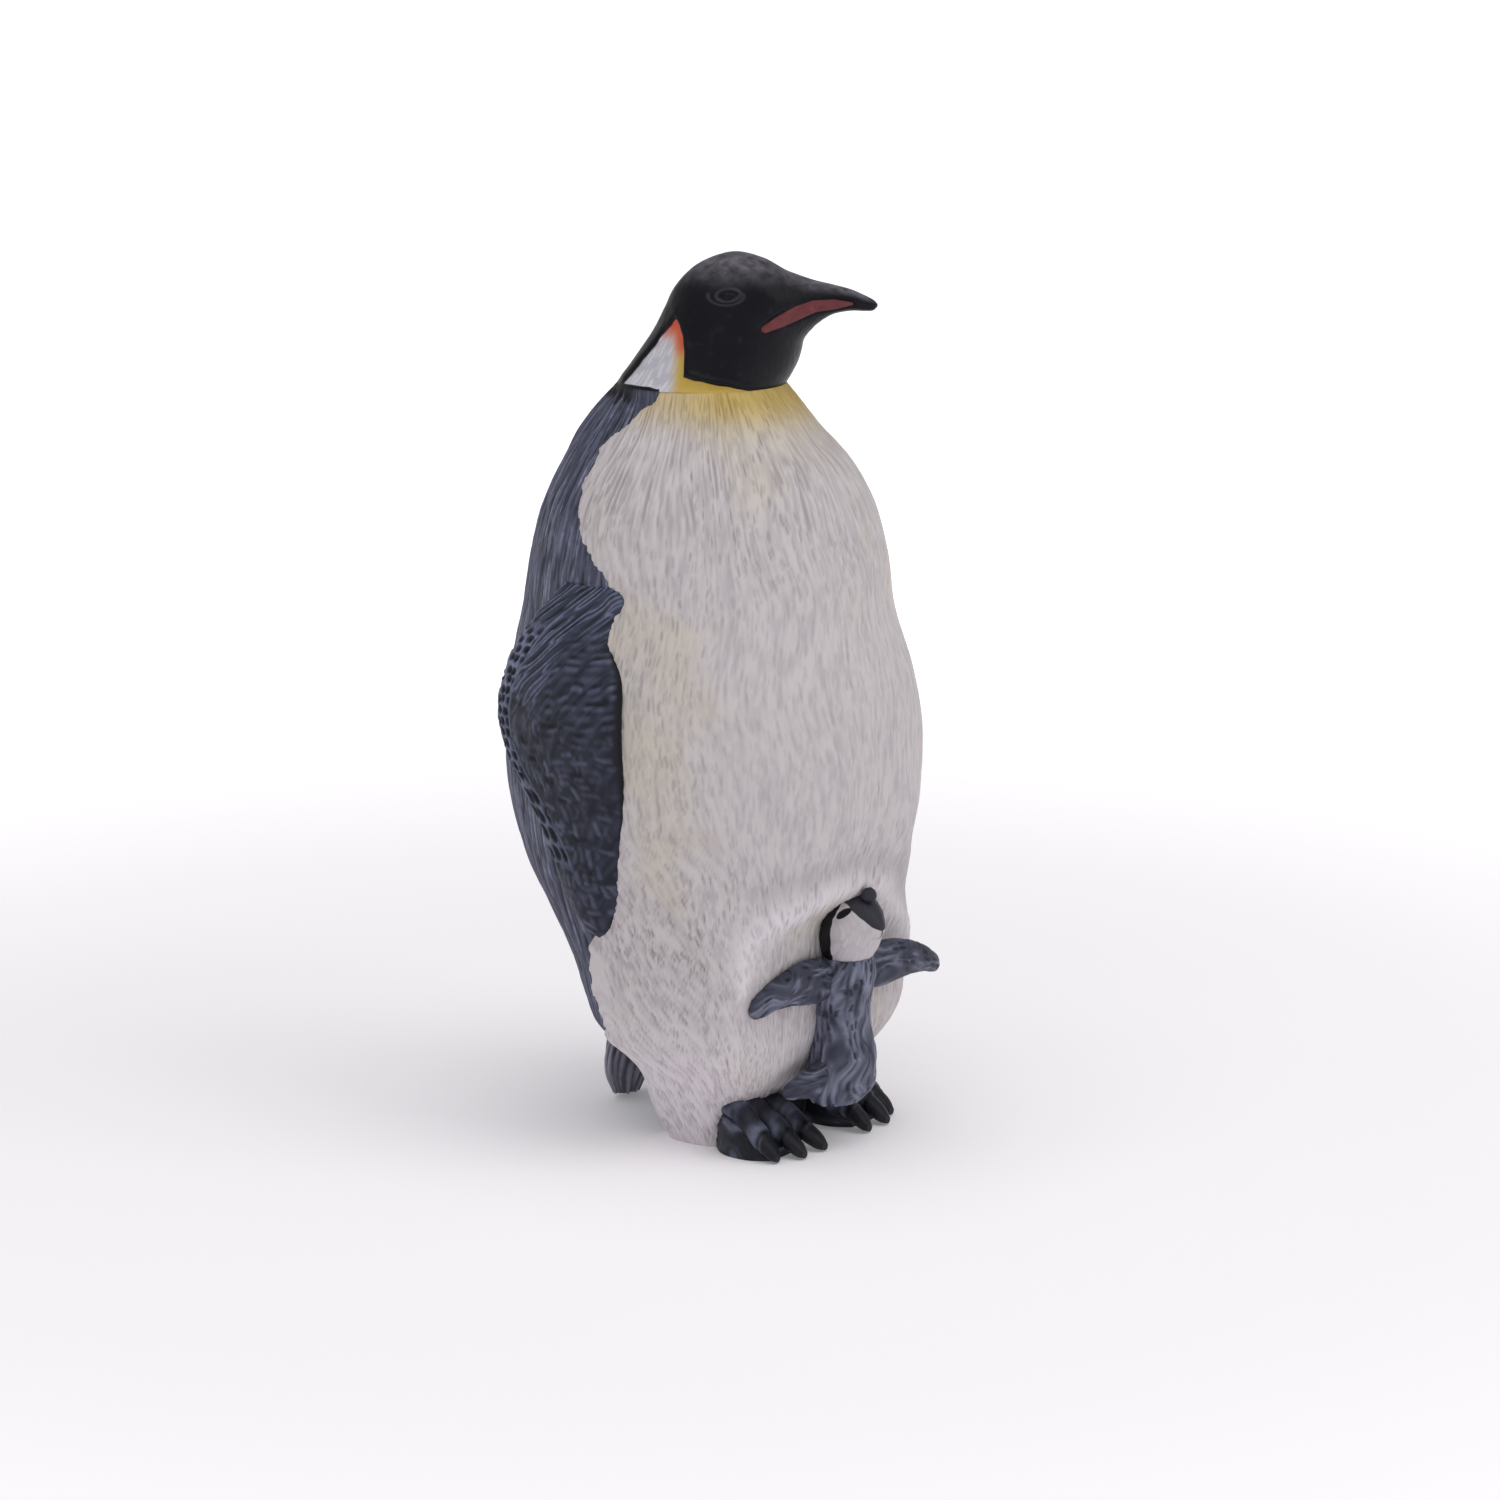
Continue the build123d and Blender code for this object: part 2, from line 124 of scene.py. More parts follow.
def lineDistance(x, y, line):
    # distance from every point to a polyline, and how far along the line the nearest place is, 0 to 1
    best, place = np.full(np.shape(x), 1e9), np.zeros(np.shape(x))
    for k in range(len(line) - 1):
        (ax, ay), (bx, by) = line[k], line[k + 1]
        share = ((x - ax) * (bx - ax) + (y - ay) * (by - ay)) / ((bx - ax) ** 2 + (by - ay) ** 2)
        share = np.clip(share, 0, 1)
        away = np.hypot(x - ax - share * (bx - ax), y - ay - share * (by - ay))
        place = np.where(away < best, (k + share) / (len(line) - 1), place)
        best = np.minimum(away, best)
    return best, place


def alongLine(place, widths):
    # a width for each place along a polyline, 0 to 1, from the widths at its corners
    return np.interp(place * (len(widths) - 1), np.arange(len(widths)), widths)


def grid(table, rows, columns, start=0.0):
    # places from the first row of a table to its last, one for each ring, and angles round a ring
    place = np.linspace(table[0][0], table[-1][0], rows)[:, None]
    return place, np.linspace(start, start + 2 * np.pi, columns, endpoint=False)[None, :]


def normals(points, wrap):
    # unit vectors out of a grid of rings: cross product of the two directions along the grid, turned to
    # point away from the middle of each ring
    around = np.gradient(points, axis=1)
    if wrap:
        around = np.roll(points, -1, 1) - np.roll(points, 1, 1)
    out = np.cross(around, np.gradient(points, axis=0))
    out /= np.linalg.norm(out, axis=-1, keepdims=True) + 1e-12
    middle = points.mean(axis=1, keepdims=True)
    return out * (1 if ((points - middle) * out).sum() > 0 else -1)


def raised(points, relief, wrap=True):
    # points moved out of their surface by the relief
    return points + normals(points, wrap) * relief[..., None]


def placed(points, angle, y, z=0.0):
    # points turned about the upright axis, then moved
    turn = np.radians(angle)
    fromX, fromY, fromZ = points[..., 0], points[..., 1], points[..., 2]
    x = fromX * np.cos(turn) - fromY * np.sin(turn)
    return np.stack([x, fromX * np.sin(turn) + fromY * np.cos(turn) + y, fromZ + z], axis=-1)


def makePiece(name, node, material, skins):
    # closed mesh from rings: quads join ring to ring and round each ring, one flat face closes each end.
    # Each skin is a grid of points and the painted values on it
    vertices, faces, flat, layers, first = [], [], [], {}, 0
    for points, values in skins:
        rows, columns = points.shape[:2]
        i = np.arange(rows - 1)[:, None] * columns
        j = np.arange(columns)[None, :]
        k = (j + 1) % columns
        quads = np.stack([i + j, i + k, i + k + columns, i + j + columns], axis=-1).reshape(-1, 4)
        ends = [np.arange(columns)[::-1], np.arange(columns) + (rows - 1) * columns]
        around = np.roll(points, -1, 1) - points
        facing = np.cross(around[:-1], points[1:] - points[:-1])
        middle = points.mean(axis=1, keepdims=True)[:-1]
        if (facing * (points[:-1] - middle)).sum() < 0:
            quads = quads[:, ::-1]
            ends = [end[::-1] for end in ends]
        vertices.append(points.reshape(-1, 3) * mm)
        faces += (quads + first).tolist() + [(end + first).tolist() for end in ends]
        flat += [len(faces) - 2, len(faces) - 1]
        for key, field in values.items():
            layers.setdefault(key, []).append(np.broadcast_to(field, (rows, columns)).ravel())
        first += rows * columns
    mesh = bpy.data.meshes.new(name)
    mesh.from_pydata(np.concatenate(vertices), [], faces)
    for key, fields in layers.items():
        layer = mesh.attributes.new(key, "FLOAT", "POINT")
        layer.data.foreach_set("value", np.concatenate(fields).astype(np.float32))
    mesh.set_sharp_from_angle(angle=np.radians(crispAngle))
    smooth = np.ones(len(faces), bool)
    smooth[flat] = False
    mesh.polygons.foreach_set("use_smooth", smooth)
    mesh.materials.append(material)
    piece = bpy.data.objects.new(name, mesh)
    bpy.context.scene.collection.objects.link(piece)
    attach(piece, "root")
    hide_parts(node)
    print(name, len(mesh.polygons), "faces")


def tint(colour):
    # screen colour 0 to 255 to the linear colour that a shader takes
    share = np.array(colour) / 255
    linear = np.where(share > 0.04045, ((share + 0.055) / 1.055) ** 2.4, share / 12.92)
    return (*linear.tolist(), 1.0)


def newPaint(name, roughness, gloss):
    material = bpy.data.materials.new(name)
    material.use_nodes = True
    shader = material.node_tree.nodes["Principled BSDF"]
    shader.inputs["Roughness"].default_value = roughness
    shader.inputs["Specular IOR Level"].default_value = gloss
    return material, material.node_tree, shader


def put(tree, socket, source):
    # a painted value by its name, a link from another node, a screen colour or a plain number
    if isinstance(source, str):
        node = tree.nodes.new("ShaderNodeAttribute")
        node.attribute_name = source
        source = node.outputs["Fac"]
    if isinstance(source, bpy.types.NodeSocket):
        tree.links.new(source, socket)
    else:
        socket.default_value = tint(source) if isinstance(source, tuple) else source


def speckle(tree, size, detail=3.0):
    # noise in the object's own space, its grains about size millimetres wide
    place = tree.nodes.new("ShaderNodeTexCoord")
    noise = tree.nodes.new("ShaderNodeTexNoise")
    noise.inputs["Scale"].default_value = 1 / (size * mm)
    noise.inputs["Detail"].default_value = detail
    tree.links.new(place.outputs["Object"], noise.inputs["Vector"])
    return noise.outputs["Fac"]


def sums(tree, kind, a, b):
    node = tree.nodes.new("ShaderNodeMath")
    node.operation = kind
    put(tree, node.inputs[0], a)
    put(tree, node.inputs[1], b)
    return node.outputs[0]


def between(tree, source, low, high):
    # ramp as a node
    node = tree.nodes.new("ShaderNodeMapRange")
    node.interpolation_type = "SMOOTHSTEP"
    put(tree, node.inputs["Value"], source)
    node.inputs["From Min"].default_value = low
    node.inputs["From Max"].default_value = high
    return node.outputs["Result"]


def blend(tree, share, a, b):
    # colour a where share is 0, colour b where it is 1
    node = tree.nodes.new("ShaderNodeMix")
    node.data_type = "RGBA"
    put(tree, node.inputs[0], share)
    put(tree, node.inputs[6], a)
    put(tree, node.inputs[7], b)
    return node.outputs[2]


def wash(tree, base, key, share, colour):
    # a share of a colour laid over the base where a value is painted
    return blend(tree, sums(tree, "MULTIPLY", key, share), base, colour)


finish = {
    "grain": (0.35, 0.03),  # size, depth
    "hair": (4.5, 0.5, 0.9),  # lines to a millimetre across and along the flow, share
    "gloss": 0.2,
    "brush": (0.7, 1.4),  # patches where the dry brush took: size, strength
    "cutShare": 0.85,
}


def grain(tree, shader, size, depth, flow=False):
    # fine cast grain, in millimetres, and hair lines along the flow of the plumage
    bump = tree.nodes.new("ShaderNodeBump")
    bump.inputs["Strength"].default_value = 1.0
    bump.inputs["Distance"].default_value = depth * mm
    height = speckle(tree, size, 4.0)
    if flow:
        across, along, share = finish["hair"]
        place = tree.nodes.new("ShaderNodeCombineXYZ")
        put(tree, place.inputs["X"], sums(tree, "MULTIPLY", "across", across))
        put(tree, place.inputs["Y"], sums(tree, "MULTIPLY", "along", along))
        hair = tree.nodes.new("ShaderNodeTexNoise")
        hair.inputs["Scale"].default_value = 1.0
        hair.inputs["Detail"].default_value = 2.0
        tree.links.new(place.outputs["Vector"], hair.inputs["Vector"])
        height = sums(tree, "ADD", height, sums(tree, "MULTIPLY", hair.outputs["Fac"], share))
    tree.links.new(height, bump.inputs["Height"])
    tree.links.new(bump.outputs["Normal"], shader.inputs["Normal"])


def brushed(tree, colours):
    # dark paint: low between the strands and base on them, dry-brushed light along the wires, dark in the cuts
    groove, low, base, light = colours
    size, strength = finish["brush"]
    worn = sums(tree, "MULTIPLY", speckle(tree, size), strength)
    colour = blend(tree, between(tree, "ridge", 0.15, 0.75), low, base)
    colour = wash(tree, colour, "wire", worn, light)
    return wash(tree, colour, "cut", finish["cutShare"], groove)


def makePaint(name, sheen, grains, colourOf, flow=False):
    # paint whose colour is what a function builds in its nodes, over cast grain
    material, tree, shader = newPaint(name, *sheen)
    put(tree, shader.inputs["Base Color"], colourOf(tree))
    grain(tree, shader, *grains, flow)
    return material


def paintDark(name, colours, roughness=0.5):
    return makePaint(name, (roughness, finish["gloss"]), finish["grain"], lambda tree: brushed(tree, colours))


body = {
    # height, half width, front, back, bluntness of the front
    "sections": [
        (0, 9.8, 6, 5, 3.7), (3, 11.2, 6.7, 6.2, 3.6), (5.2, 12.2, 8.3, 6.3, 3.4), (7.5, 13.2, 10.5, 6.6, 5.6),
        (9, 14.3, 11.4, 7.9, 6.4), (11, 16.2, 12.1, 11.2, 6), (15, 17.7, 12.6, 13.1, 5),
        (19.5, 18.4, 13.3, 15, 4.4), (23, 18.9, 14.4, 17.4, 3.2), (28, 19.5, 17.6, 20.8, 2.3),
        (35, 19.9, 20.4, 23.1, 2), (42, 20, 21.1, 22.8, 2), (48, 19.3, 20.4, 21.7, 2),
        (54, 18.1, 18.6, 20.1, 2), (60, 17.3, 18.2, 18.6, 2), (65, 15.9, 17.1, 16.8, 2),
        (69, 13.6, 15, 14.7, 2), (72, 11.3, 12.2, 13.2, 2), (74.5, 9.5, 10.3, 10.9, 2),
        (76.5, 8.4, 8.6, 8.5, 2),
    ],
    "seamFoot": -3.6,
    "neckBack": 0.8,
    "neckHeight": 76.5,
    "grid": (200, 490),  # rings, columns
    "reach": 18,  # radius that turns an angle into a width of plumage
    "lean": (0.6, 34),  # forward lean of the low flanks, below which height
    "ripple": 2.2,
    # height, angle from the breast where white meets dark
    "whiteEdge": [
        (0, 111), (3.4, 110.5), (6.8, 110.5), (9, 112.5), (10.2, 113.5), (11.3, 108.3), (12.7, 104), (15, 104),
        (17.2, 105), (20.1, 103.5), (22.1, 101), (24, 95), (30, 92), (45, 92), (55, 90), (58.3, 87),
        (59.6, 91.7), (61.3, 97.8), (63.4, 103.5), (65.2, 106.8), (67, 109), (69, 109.3), (70.8, 109.7),
        (72.8, 103), (74.6, 94), (76.2, 82), (76.6, 80),
    ],
    # angle to the bird's right, height and half width of the fold over the chick
    "fold": [
        (50, 18.6, 0.8), (49.5, 20.3, 1.5), (48, 22.6, 1.9), (44, 24.4, 2.1), (36, 25.8, 2.1), (25, 26.9, 2),
        (14, 27.6, 1.9), (4, 27.4, 1.9), (-8, 26.5, 1.9), (-20, 25, 2), (-32, 23.1, 2), (-42, 21.2, 1.9),
        (-48, 19.6, 1.5), (-50, 18.2, 0.8),
    ],
    "foldSpread": (1, 0.75),  # softness below and above its line
    "foldLength": 72,
    "foldProud": 0.6,
    "foldTufts": 0.16,
    "crease": (1.5, 1.1),  # half widths above the fold, breadth
    "creaseDeep": 0.2,
    "hollow": (10, 11, 23, 2.4, 0.6),  # behind the chick: angle, its spread, height, its spread, depth
    "lumps": 0.14,
    "breastRelief": 0.15,
    "flankRelief": 0.1,
    "backRelief": 0.24,
    "darkSunk": 0.35,
    # strokes: width, length, seed and, for cuts, the share that is cut
    "comb": (0.34, 1.9, 3),
    "shortCut": (0.46, 1.7, 5, 0.5),
    "fineCut": (0.34, 1.2, 6, 0.5),
    "longCut": (0.75, 6, 4, 0.75),
    "tooth": (0.9, 3, 9),
    "tuft": (0.5, 2.6, 17),
    "backComb": (0.45, 7, 7),
    "backLight": (0.62, 7, 21, 0.8),
    "backFineLight": (0.42, 4, 22, 0.8),
    "backCut": (0.6, 3.6, 25, 0.45),
    "sheen": (0.6, 0.3),  # roughness, gloss
    "white": ((181, 174, 178), (199, 193, 195)),  # between the strands and on them
    "cream": (196, 187, 168),
    "creamPatch": (13, 2),
    "creamShare": 0.55,
    # painted value, share and colour of each wash over the white
    "washes": [
        # the fold's wash is a painted highlight: the fold is painted lighter where its rim catches the light
        ("fold", 0.6, (230, 225, 231)), ("sun", 0.5, (198, 183, 138)), ("collar", 0.88, (190, 162, 82)),
        # the low wash is painted light: the white is lightened low down to lift the shade there
        ("low", 0.6, (232, 225, 231)),
    ],
    "groove": ((146, 138, 141), (136, 112, 62)),  # in the white and in the collar
    "grooveShare": 0.7,
    "dark": ((15, 16, 23), (38, 40, 54), (66, 69, 89), (138, 142, 167)),
    "nape": (16, 16, 23),
    "shade": (20, 20, 26),
}


def seam(height):
    # the line that the two halves share leans back from the feet to the neck
    return body["seamFoot"] + (body["neckBack"] - body["seamFoot"]) * height / body["neckHeight"]


def bodyReach(height, turn):
    # distance from the seam to the skin at a turn from the breast: a blunt oval in front, an ellipse behind
    halfWidth, front, back, blunt = readTable(body["sections"], height)
    ahead = np.cos(turn) > 0
    power = np.where(ahead, blunt, 2.0)
    depth = np.where(ahead, front, back)
    ratio = np.abs(np.sin(turn) / halfWidth) ** power + np.abs(np.cos(turn) / depth) ** power
    return ratio ** (-1 / power)


def onBody(height, turn, out=0.0):
    # a point on the skin, or out from it
    reach = bodyReach(height, turn) + out
    height = np.broadcast_to(height, reach.shape)
    return np.stack([-reach * np.sin(turn), seam(height) - reach * np.cos(turn), height], axis=-1)


def foldOver(fromBreast, across, height, ripple):
    # the fold over the chick: a soft ridge along a bent line, with a crease above it and tufts along it
    fold = np.array(body["fold"], float)
    line = np.stack([np.radians(fold[:, 0]) * body["reach"], fold[:, 1]], axis=1)
    away, along = lineDistance(across, height, line)
    halfWidth = alongLine(along, fold[:, 2])
    below = height < np.interp(fromBreast, fold[::-1, 0], fold[::-1, 1])
    swell = bell(away / halfWidth, np.where(below, *body["foldSpread"]))
    above, breadth = body["crease"]
    crease = np.where(below, 0, bell(away - above * halfWidth, breadth))
    crease = crease * (1 - ramp(np.abs(fromBreast), 36, 50))
    tuft = strands((0.5 - along) * body["foldLength"] + 0.5 * ripple, height, *body["tuft"])
    return swell, crease, tuft


def darkBack(height, turn, edge):
    # combed strands, lit strokes and cuts down the dark back, which lies lower than the white
    rear = np.radians(np.degrees(turn) % 360) * 1.05 * body["reach"]
    rear = rear + 1.2 * (cloud(rear / 7, height / 10, 15) - 0.5)
    comb = strands(rear, height, *body["backComb"])
    fine = cuts(rear + 0.2, height, *body["backFineLight"])
    light = np.maximum(cuts(rear, height, *body["backLight"]), 0.7 * fine)
    cut = cuts(rear + 0.3, height, *body["backCut"])
    relief = body["backRelief"] * (comb - 0.5 + 0.35 * light - 0.8 * cut)
    return relief - body["darkSunk"] * (0.5 + 0.5 * bell(edge, 4)), comb, light, cut


def plumage(height, turn):
    # relief and paint of the body: lines of plumage run down from the neck at a steady angle, lean forward
    # low on the flanks, and stand across the fold over the chick
    fromBreast = (np.degrees(turn) + 180) % 360 - 180
    side = np.abs(fromBreast)
    across = np.radians(fromBreast) * body["reach"]
    leanShare, leanBelow = body["lean"]
    lean = leanShare * np.minimum(height - leanBelow, 0) * ramp(side, 25, 65) * (1 - ramp(side, 95, 120))
    ripple = body["ripple"] * (cloud(across / 6, height / 8, 11) - 0.5)
    flow = across - np.sign(across) * lean + ripple
    comb = strands(flow, height, *body["comb"])
    line = np.maximum(cuts(flow, height, *body["shortCut"]), 0.9 * cuts(flow + 0.2, height, *body["fineCut"]))
    line = np.maximum(line, ramp(height, 56, 66) * cuts(flow, height, *body["longCut"]))

    edgeAngle = readTable(body["whiteEdge"], height)[0]
    edge = np.radians(edgeAngle - side) * bodyReach(height, turn)
    tooth = strokes(height + 0.5 * np.abs(across), across, *body["tooth"])[0]
    ragged = edge + 0.35 * (tooth - 0.4) + 0.5 * (cloud(height / 0.9, across / 2, 13) - 0.5)
    white = ramp(ragged, -0.12, 0.3)
    dark = 1 - white
    swell, crease, tuft = foldOver(fromBreast, across, height, ripple)
    middle, spread, level, tall, hollowDeep = body["hollow"]
    hollow = np.exp(-((side - middle) / spread) ** 2 - ((height - level) / tall) ** 2)

    strong = np.maximum(ramp(height, 52, 63), 1 - ramp(height, 26, 38))  # deeper high and low
    strong = np.maximum(strong, 0.7 * ramp(side, 48, 66))
    calm = 0.5 + 0.75 * strong * (0.4 + 0.6 * cloud(across / 5, height / 6, 19))
    flank = ramp(side, 40, 80) * (1 - ramp(height, 24, 40))
    breast = calm * (body["breastRelief"] + flank * body["flankRelief"]) * (0.7 * comb - line)
    breast = breast + body["lumps"] * (cloud(across / 5 + 3, height / 7, 27) - 0.5)
    breast = breast + swell * (body["foldProud"] + body["foldTufts"] * (tuft - 0.5))
    breast = breast - hollowDeep * hollow - body["creaseDeep"] * crease
    back, backComb, backLight, backCut = darkBack(height, turn, edge)
    relief = white * breast + dark * back
    relief = relief * ramp(height, 0.2, 1.4) * (1 - ramp(height, 75.6, 76.4))
    napeHeight = height + 1.6 * (tooth - 0.4) + 1.2 * (backComb - 0.5)
    return relief, {
        # fold marks the painted highlight along the fold over the chick
        "edge": ragged, "fold": swell, "across": flow, "along": height,
        "ridge": white * (comb * (1 - swell) + tuft * swell) + dark * backComb,
        "wire": dark * backLight,
        # the crease above the fold darkens the paint as painted shade, beside the tooled grooves
        "cut": white * np.maximum(line * calm, 0.4 * crease) + dark * backCut,
        "nape": dark * ramp(napeHeight, 74.6, 75.4) * ramp(side, 98, 110),
        # low: painted light, lightening the white low down where shade falls
        "low": 1 - ramp(height, 2, 22),
        "shade": (1 - ramp(height + 1.5 * (comb - 0.5), 5.0, 7.0)) * (1 - ramp(side, 26, 40)),
        "sun": ramp(height - 1.6 * (side / 50) ** 2, 67.0, 76.5),
        "collar": ramp(height, 71.8, 75.8) * (1 - 0.4 * ramp(side, 35, 70)),
    }


def bodySkin(startTurn, endTurn):
    # one half of the body: rings from sole to neck, with a spare column at each edge so that the relief meets
    # the other half without a step
    rows, columns = body["grid"]
    step = (endTurn - startTurn) / columns
    turn = np.radians(np.arange(startTurn - step, endTurn + 1.5 * step, step))[None, :]
    height = grid(body["sections"], rows, columns)[0]
    points = onBody(height, turn)
    relief, values = plumage(height + 0 * turn, turn + 0 * height)
    points = raised(points, relief, False)
    points[..., 2] = np.clip(points[..., 2], 0, body["neckHeight"])
    return points[:, 1:-1], {key: field[:, 1:-1] for key, field in values.items()}


def paintBody(tree):
    # white with cream patches, washes and dark grooves, ending at a ragged edge against the dark back. The washes
    # on the fold and low down are painted light, and the crease above the fold and the skirt between the feet are
    # painted shade
    white = blend(tree, between(tree, "ridge", 0.1, 0.7), *body["white"])
    cream = between(tree, speckle(tree, *body["creamPatch"]), 0.5, 0.72)
    white = blend(tree, sums(tree, "MULTIPLY", cream, body["creamShare"]), white, body["cream"])
    for key, share, colour in body["washes"]:
        white = wash(tree, white, key, share, colour)
    groove = blend(tree, "collar", *body["groove"])
    # the cut wash darkens the tooled grooves and, as painted shade, the crease above the fold
    white = wash(tree, white, "cut", body["grooveShare"], groove)
    white = blend(tree, "shade", white, body["shade"])
    dark = blend(tree, "nape", brushed(tree, body["dark"]), body["nape"])
    return blend(tree, between(tree, "edge", -0.05, 0.1), dark, white)


bodyPaint = makePaint("bodyPaint", body["sheen"], finish["grain"], paintBody, True)
makePiece("bellyPlumage", "belly_shell", bodyPaint, [bodySkin(-90, 90)])
makePiece("backPlumage", "back_shell", bodyPaint, [bodySkin(90, 270)])


head = {
    "turn": 30,
    # place, crown side forward and rise, throat side forward and rise, half width, from the neck's middle
    "rings": [
        (0, -8.5, 0, 8.5, 0, 8.5), (1, -7.4, 1.5, 9.1, 1, 7.9), (2, -6, 3.5, 9.7, 2.2, 7.3),
        (3, -4.7, 5.5, 10.05, 3.3, 6.8), (4, -3.7, 7.5, 10.2, 4.1, 6.45), (5, -2.7, 9.5, 10.4, 4.6, 6.1),
        (6, -1, 11.4, 10.65, 4.95, 5.7), (7, 1.2, 12.6, 10.85, 5.2, 5.2), (8, 3.5, 13.1, 11.05, 5.4, 4.7),
        (9, 6.1, 12.5, 11.25, 5.62, 3.9), (10, 8.2, 11.4, 11.5, 5.88, 3.2), (11, 9.8, 10.8, 11.85, 6.15, 2.7),
        (12, 11.4, 10.3, 12.4, 6.55, 2.2), (13, 13.2, 9.9, 13.4, 7.05, 1.8), (14, 15, 9.45, 15, 7.35, 1.35),
        (15, 16.6, 8.8, 16.5, 7.35, 0.95), (16, 17.45, 8.3, 17.35, 7.45, 0.5),
        (16.5, 17.7, 8, 17.65, 7.75, 0.14),
    ],
    "grid": (260, 240),
    "skinSunk": 0.3,
    "skinRelief": 0.1,
    "hoodRelief": 0.03,
    "lipProud": 0.12,  # edge of the hood
    "fray": 0.22,
    "fine": (0.5, 3, 29),
    # forward, rise and half height along the red plate of the bill
    "plate": [
        (7, 6, 0.38), (8.5, 6.73, 0.6), (10, 7.43, 0.68), (11.5, 7.97, 0.6), (13.5, 8.14, 0.5),
        (15.2, 8.18, 0.15),
    ],
    "plateFrom": 5.5,
    "plateProud": 0.12,
    "eye": (3.3, 9.3),
    "eyeSize": (1.2, 0.6),
    "eyeRelief": (0.13, 0.1, 0.12, 0.1),  # rim, socket, ball, lid
    "sheen": (0.42, 0.16),
    "grain": (0.5, 0.03),
    "skin": ((176, 174, 182), (200, 199, 205)),
    "gold": (182, 153, 74),
    "orange": (194, 86, 64),
    "black": ((12, 12, 19), (27, 27, 37)),
    # lighter grey on the crown and bill top: dry-brushed dust and a painted highlight from the light above
    "dustAndTopHighlight": (110, 106, 116),
    "eyeball": (9, 9, 11),
    "eyeRim": (66, 66, 76),
    "red": ((80, 38, 41), (118, 60, 62)),
}


def eyeOn(forward, rise, side):
    # rings about the eye: a raised rim, a sunk socket, a ball in the middle, and a lower lid outside the rim
    ahead, up = forward - head["eye"][0], rise - head["eye"][1]
    long, tall = head["eyeSize"]
    rimProud, socketDeep, ballProud, lidProud = head["eyeRelief"]
    outside = side > 2.5
    ring = np.where(outside, np.hypot(ahead / long, (up - 0.08 * ahead) / tall), 9.0)
    lid = np.hypot((ahead + 0.25) / long, (up + 0.05) / tall)
    lid = np.where(outside, bell(lid - 1.5, 0.11), 0.0) * (1 - ramp(up, -0.1, 0.35))
    rim = bell(ring - 1.0, 0.13)
    relief = rimProud * rim - socketDeep * bell(ring - 0.62, 0.2)
    relief = relief + ballProud * (1 - ramp(ring, 0.15, 0.5)) + lidProud * lid
    return relief, np.maximum(rim, lid), 1 - ramp(ring, 0.75, 0.95)


def hoodEdge(forward, rise):
    # above 0 on the black hood, below 0 on the ear patch and the collar; and how far behind the patch's front
    rear = -1.0 - 1.1 * np.clip((rise - 3.5) / 3.4, 0, None) ** 2 - forward
    nape = 0.79 * (forward + 2.1 + (6.9 - rise) / 1.28)
    patch = np.minimum(rear, nape)
    collar = np.minimum(1.22 - 0.21 * forward - rise, forward + 2.5)
    crack = np.minimum(0.3 - rise, -3.2 - forward)
    fray = head["fray"] * (cloud(rise / 0.9, forward / 0.9, 23) - 0.5)
    return np.maximum(-np.maximum(patch, collar), crack) + fray, rear


def headSkin():
    # rings that fan from level at the neck to upright along the bill: ellipses from the crown to the throat
    place, spin = grid(head["rings"], *head["grid"])
    topForward, topRise, lowForward, lowRise, halfWidth = readTable(head["rings"], place)
    forward = (topForward + lowForward) / 2 + np.cos(spin) * (topForward - lowForward) / 2
    rise = (topRise + lowRise) / 2 + np.cos(spin) * (topRise - lowRise) / 2
    across = np.sin(spin) * halfWidth
    points = np.stack([across, -forward, rise], axis=-1)

    hood, rear = hoodEdge(forward, rise)
    line = np.array(head["plate"])
    away, along = lineDistance(forward, rise, line[:, :2])
    plate = np.where(forward > head["plateFrom"], alongLine(along, line[:, 2]) - away, -1.0)
    eyeRelief, eyeRim, eyeball = eyeOn(forward, rise, np.abs(across))
    fine = strokes(np.arctan2(across, -forward + 4) * 8, rise, *head["fine"])[0]
    isHood = ramp(hood, -0.1, 0.25)
    skinRelief = (1 - isHood) * (head["skinRelief"] * fine - head["skinSunk"])
    lip = head["lipProud"] * bell(hood - 0.35, 0.35)
    relief = isHood * head["hoodRelief"] * fine + skinRelief + lip + eyeRelief
    relief = relief + head["plateProud"] * ramp(plate, -0.1, 0.15) - head["plateProud"] * bell(plate + 0.12, 0.1)
    relief = relief * ramp(rise + 0.35 * place, 0.0, 0.9) * (1 - ramp(place, 15.2, 16))
    border = ramp(rear, 1.7, 0.2)
    values = {
        "hood": hood, "plate": plate, "eye": eyeball, "rim": eyeRim, "ridge": fine,
        "warm": np.maximum(ramp(rise, 4.2, 6.3), border * ramp(rise, 2.8, 4.6)),
        "gold": np.maximum(border, ramp(forward, -2.2, 0.2) * (1 - ramp(rise, 0.6, 2.2))),
        # worn: the crown and the top of the bill, where dust and a painted highlight lie
        "worn": np.maximum(ramp(rise, 9.6, 12.6), ramp(place, 8.5, 10.5) * ramp(np.cos(spin), 0.35, 0.95)),
    }
    return placed(raised(points, relief), head["turn"], body["neckBack"], body["neckHeight"]), values


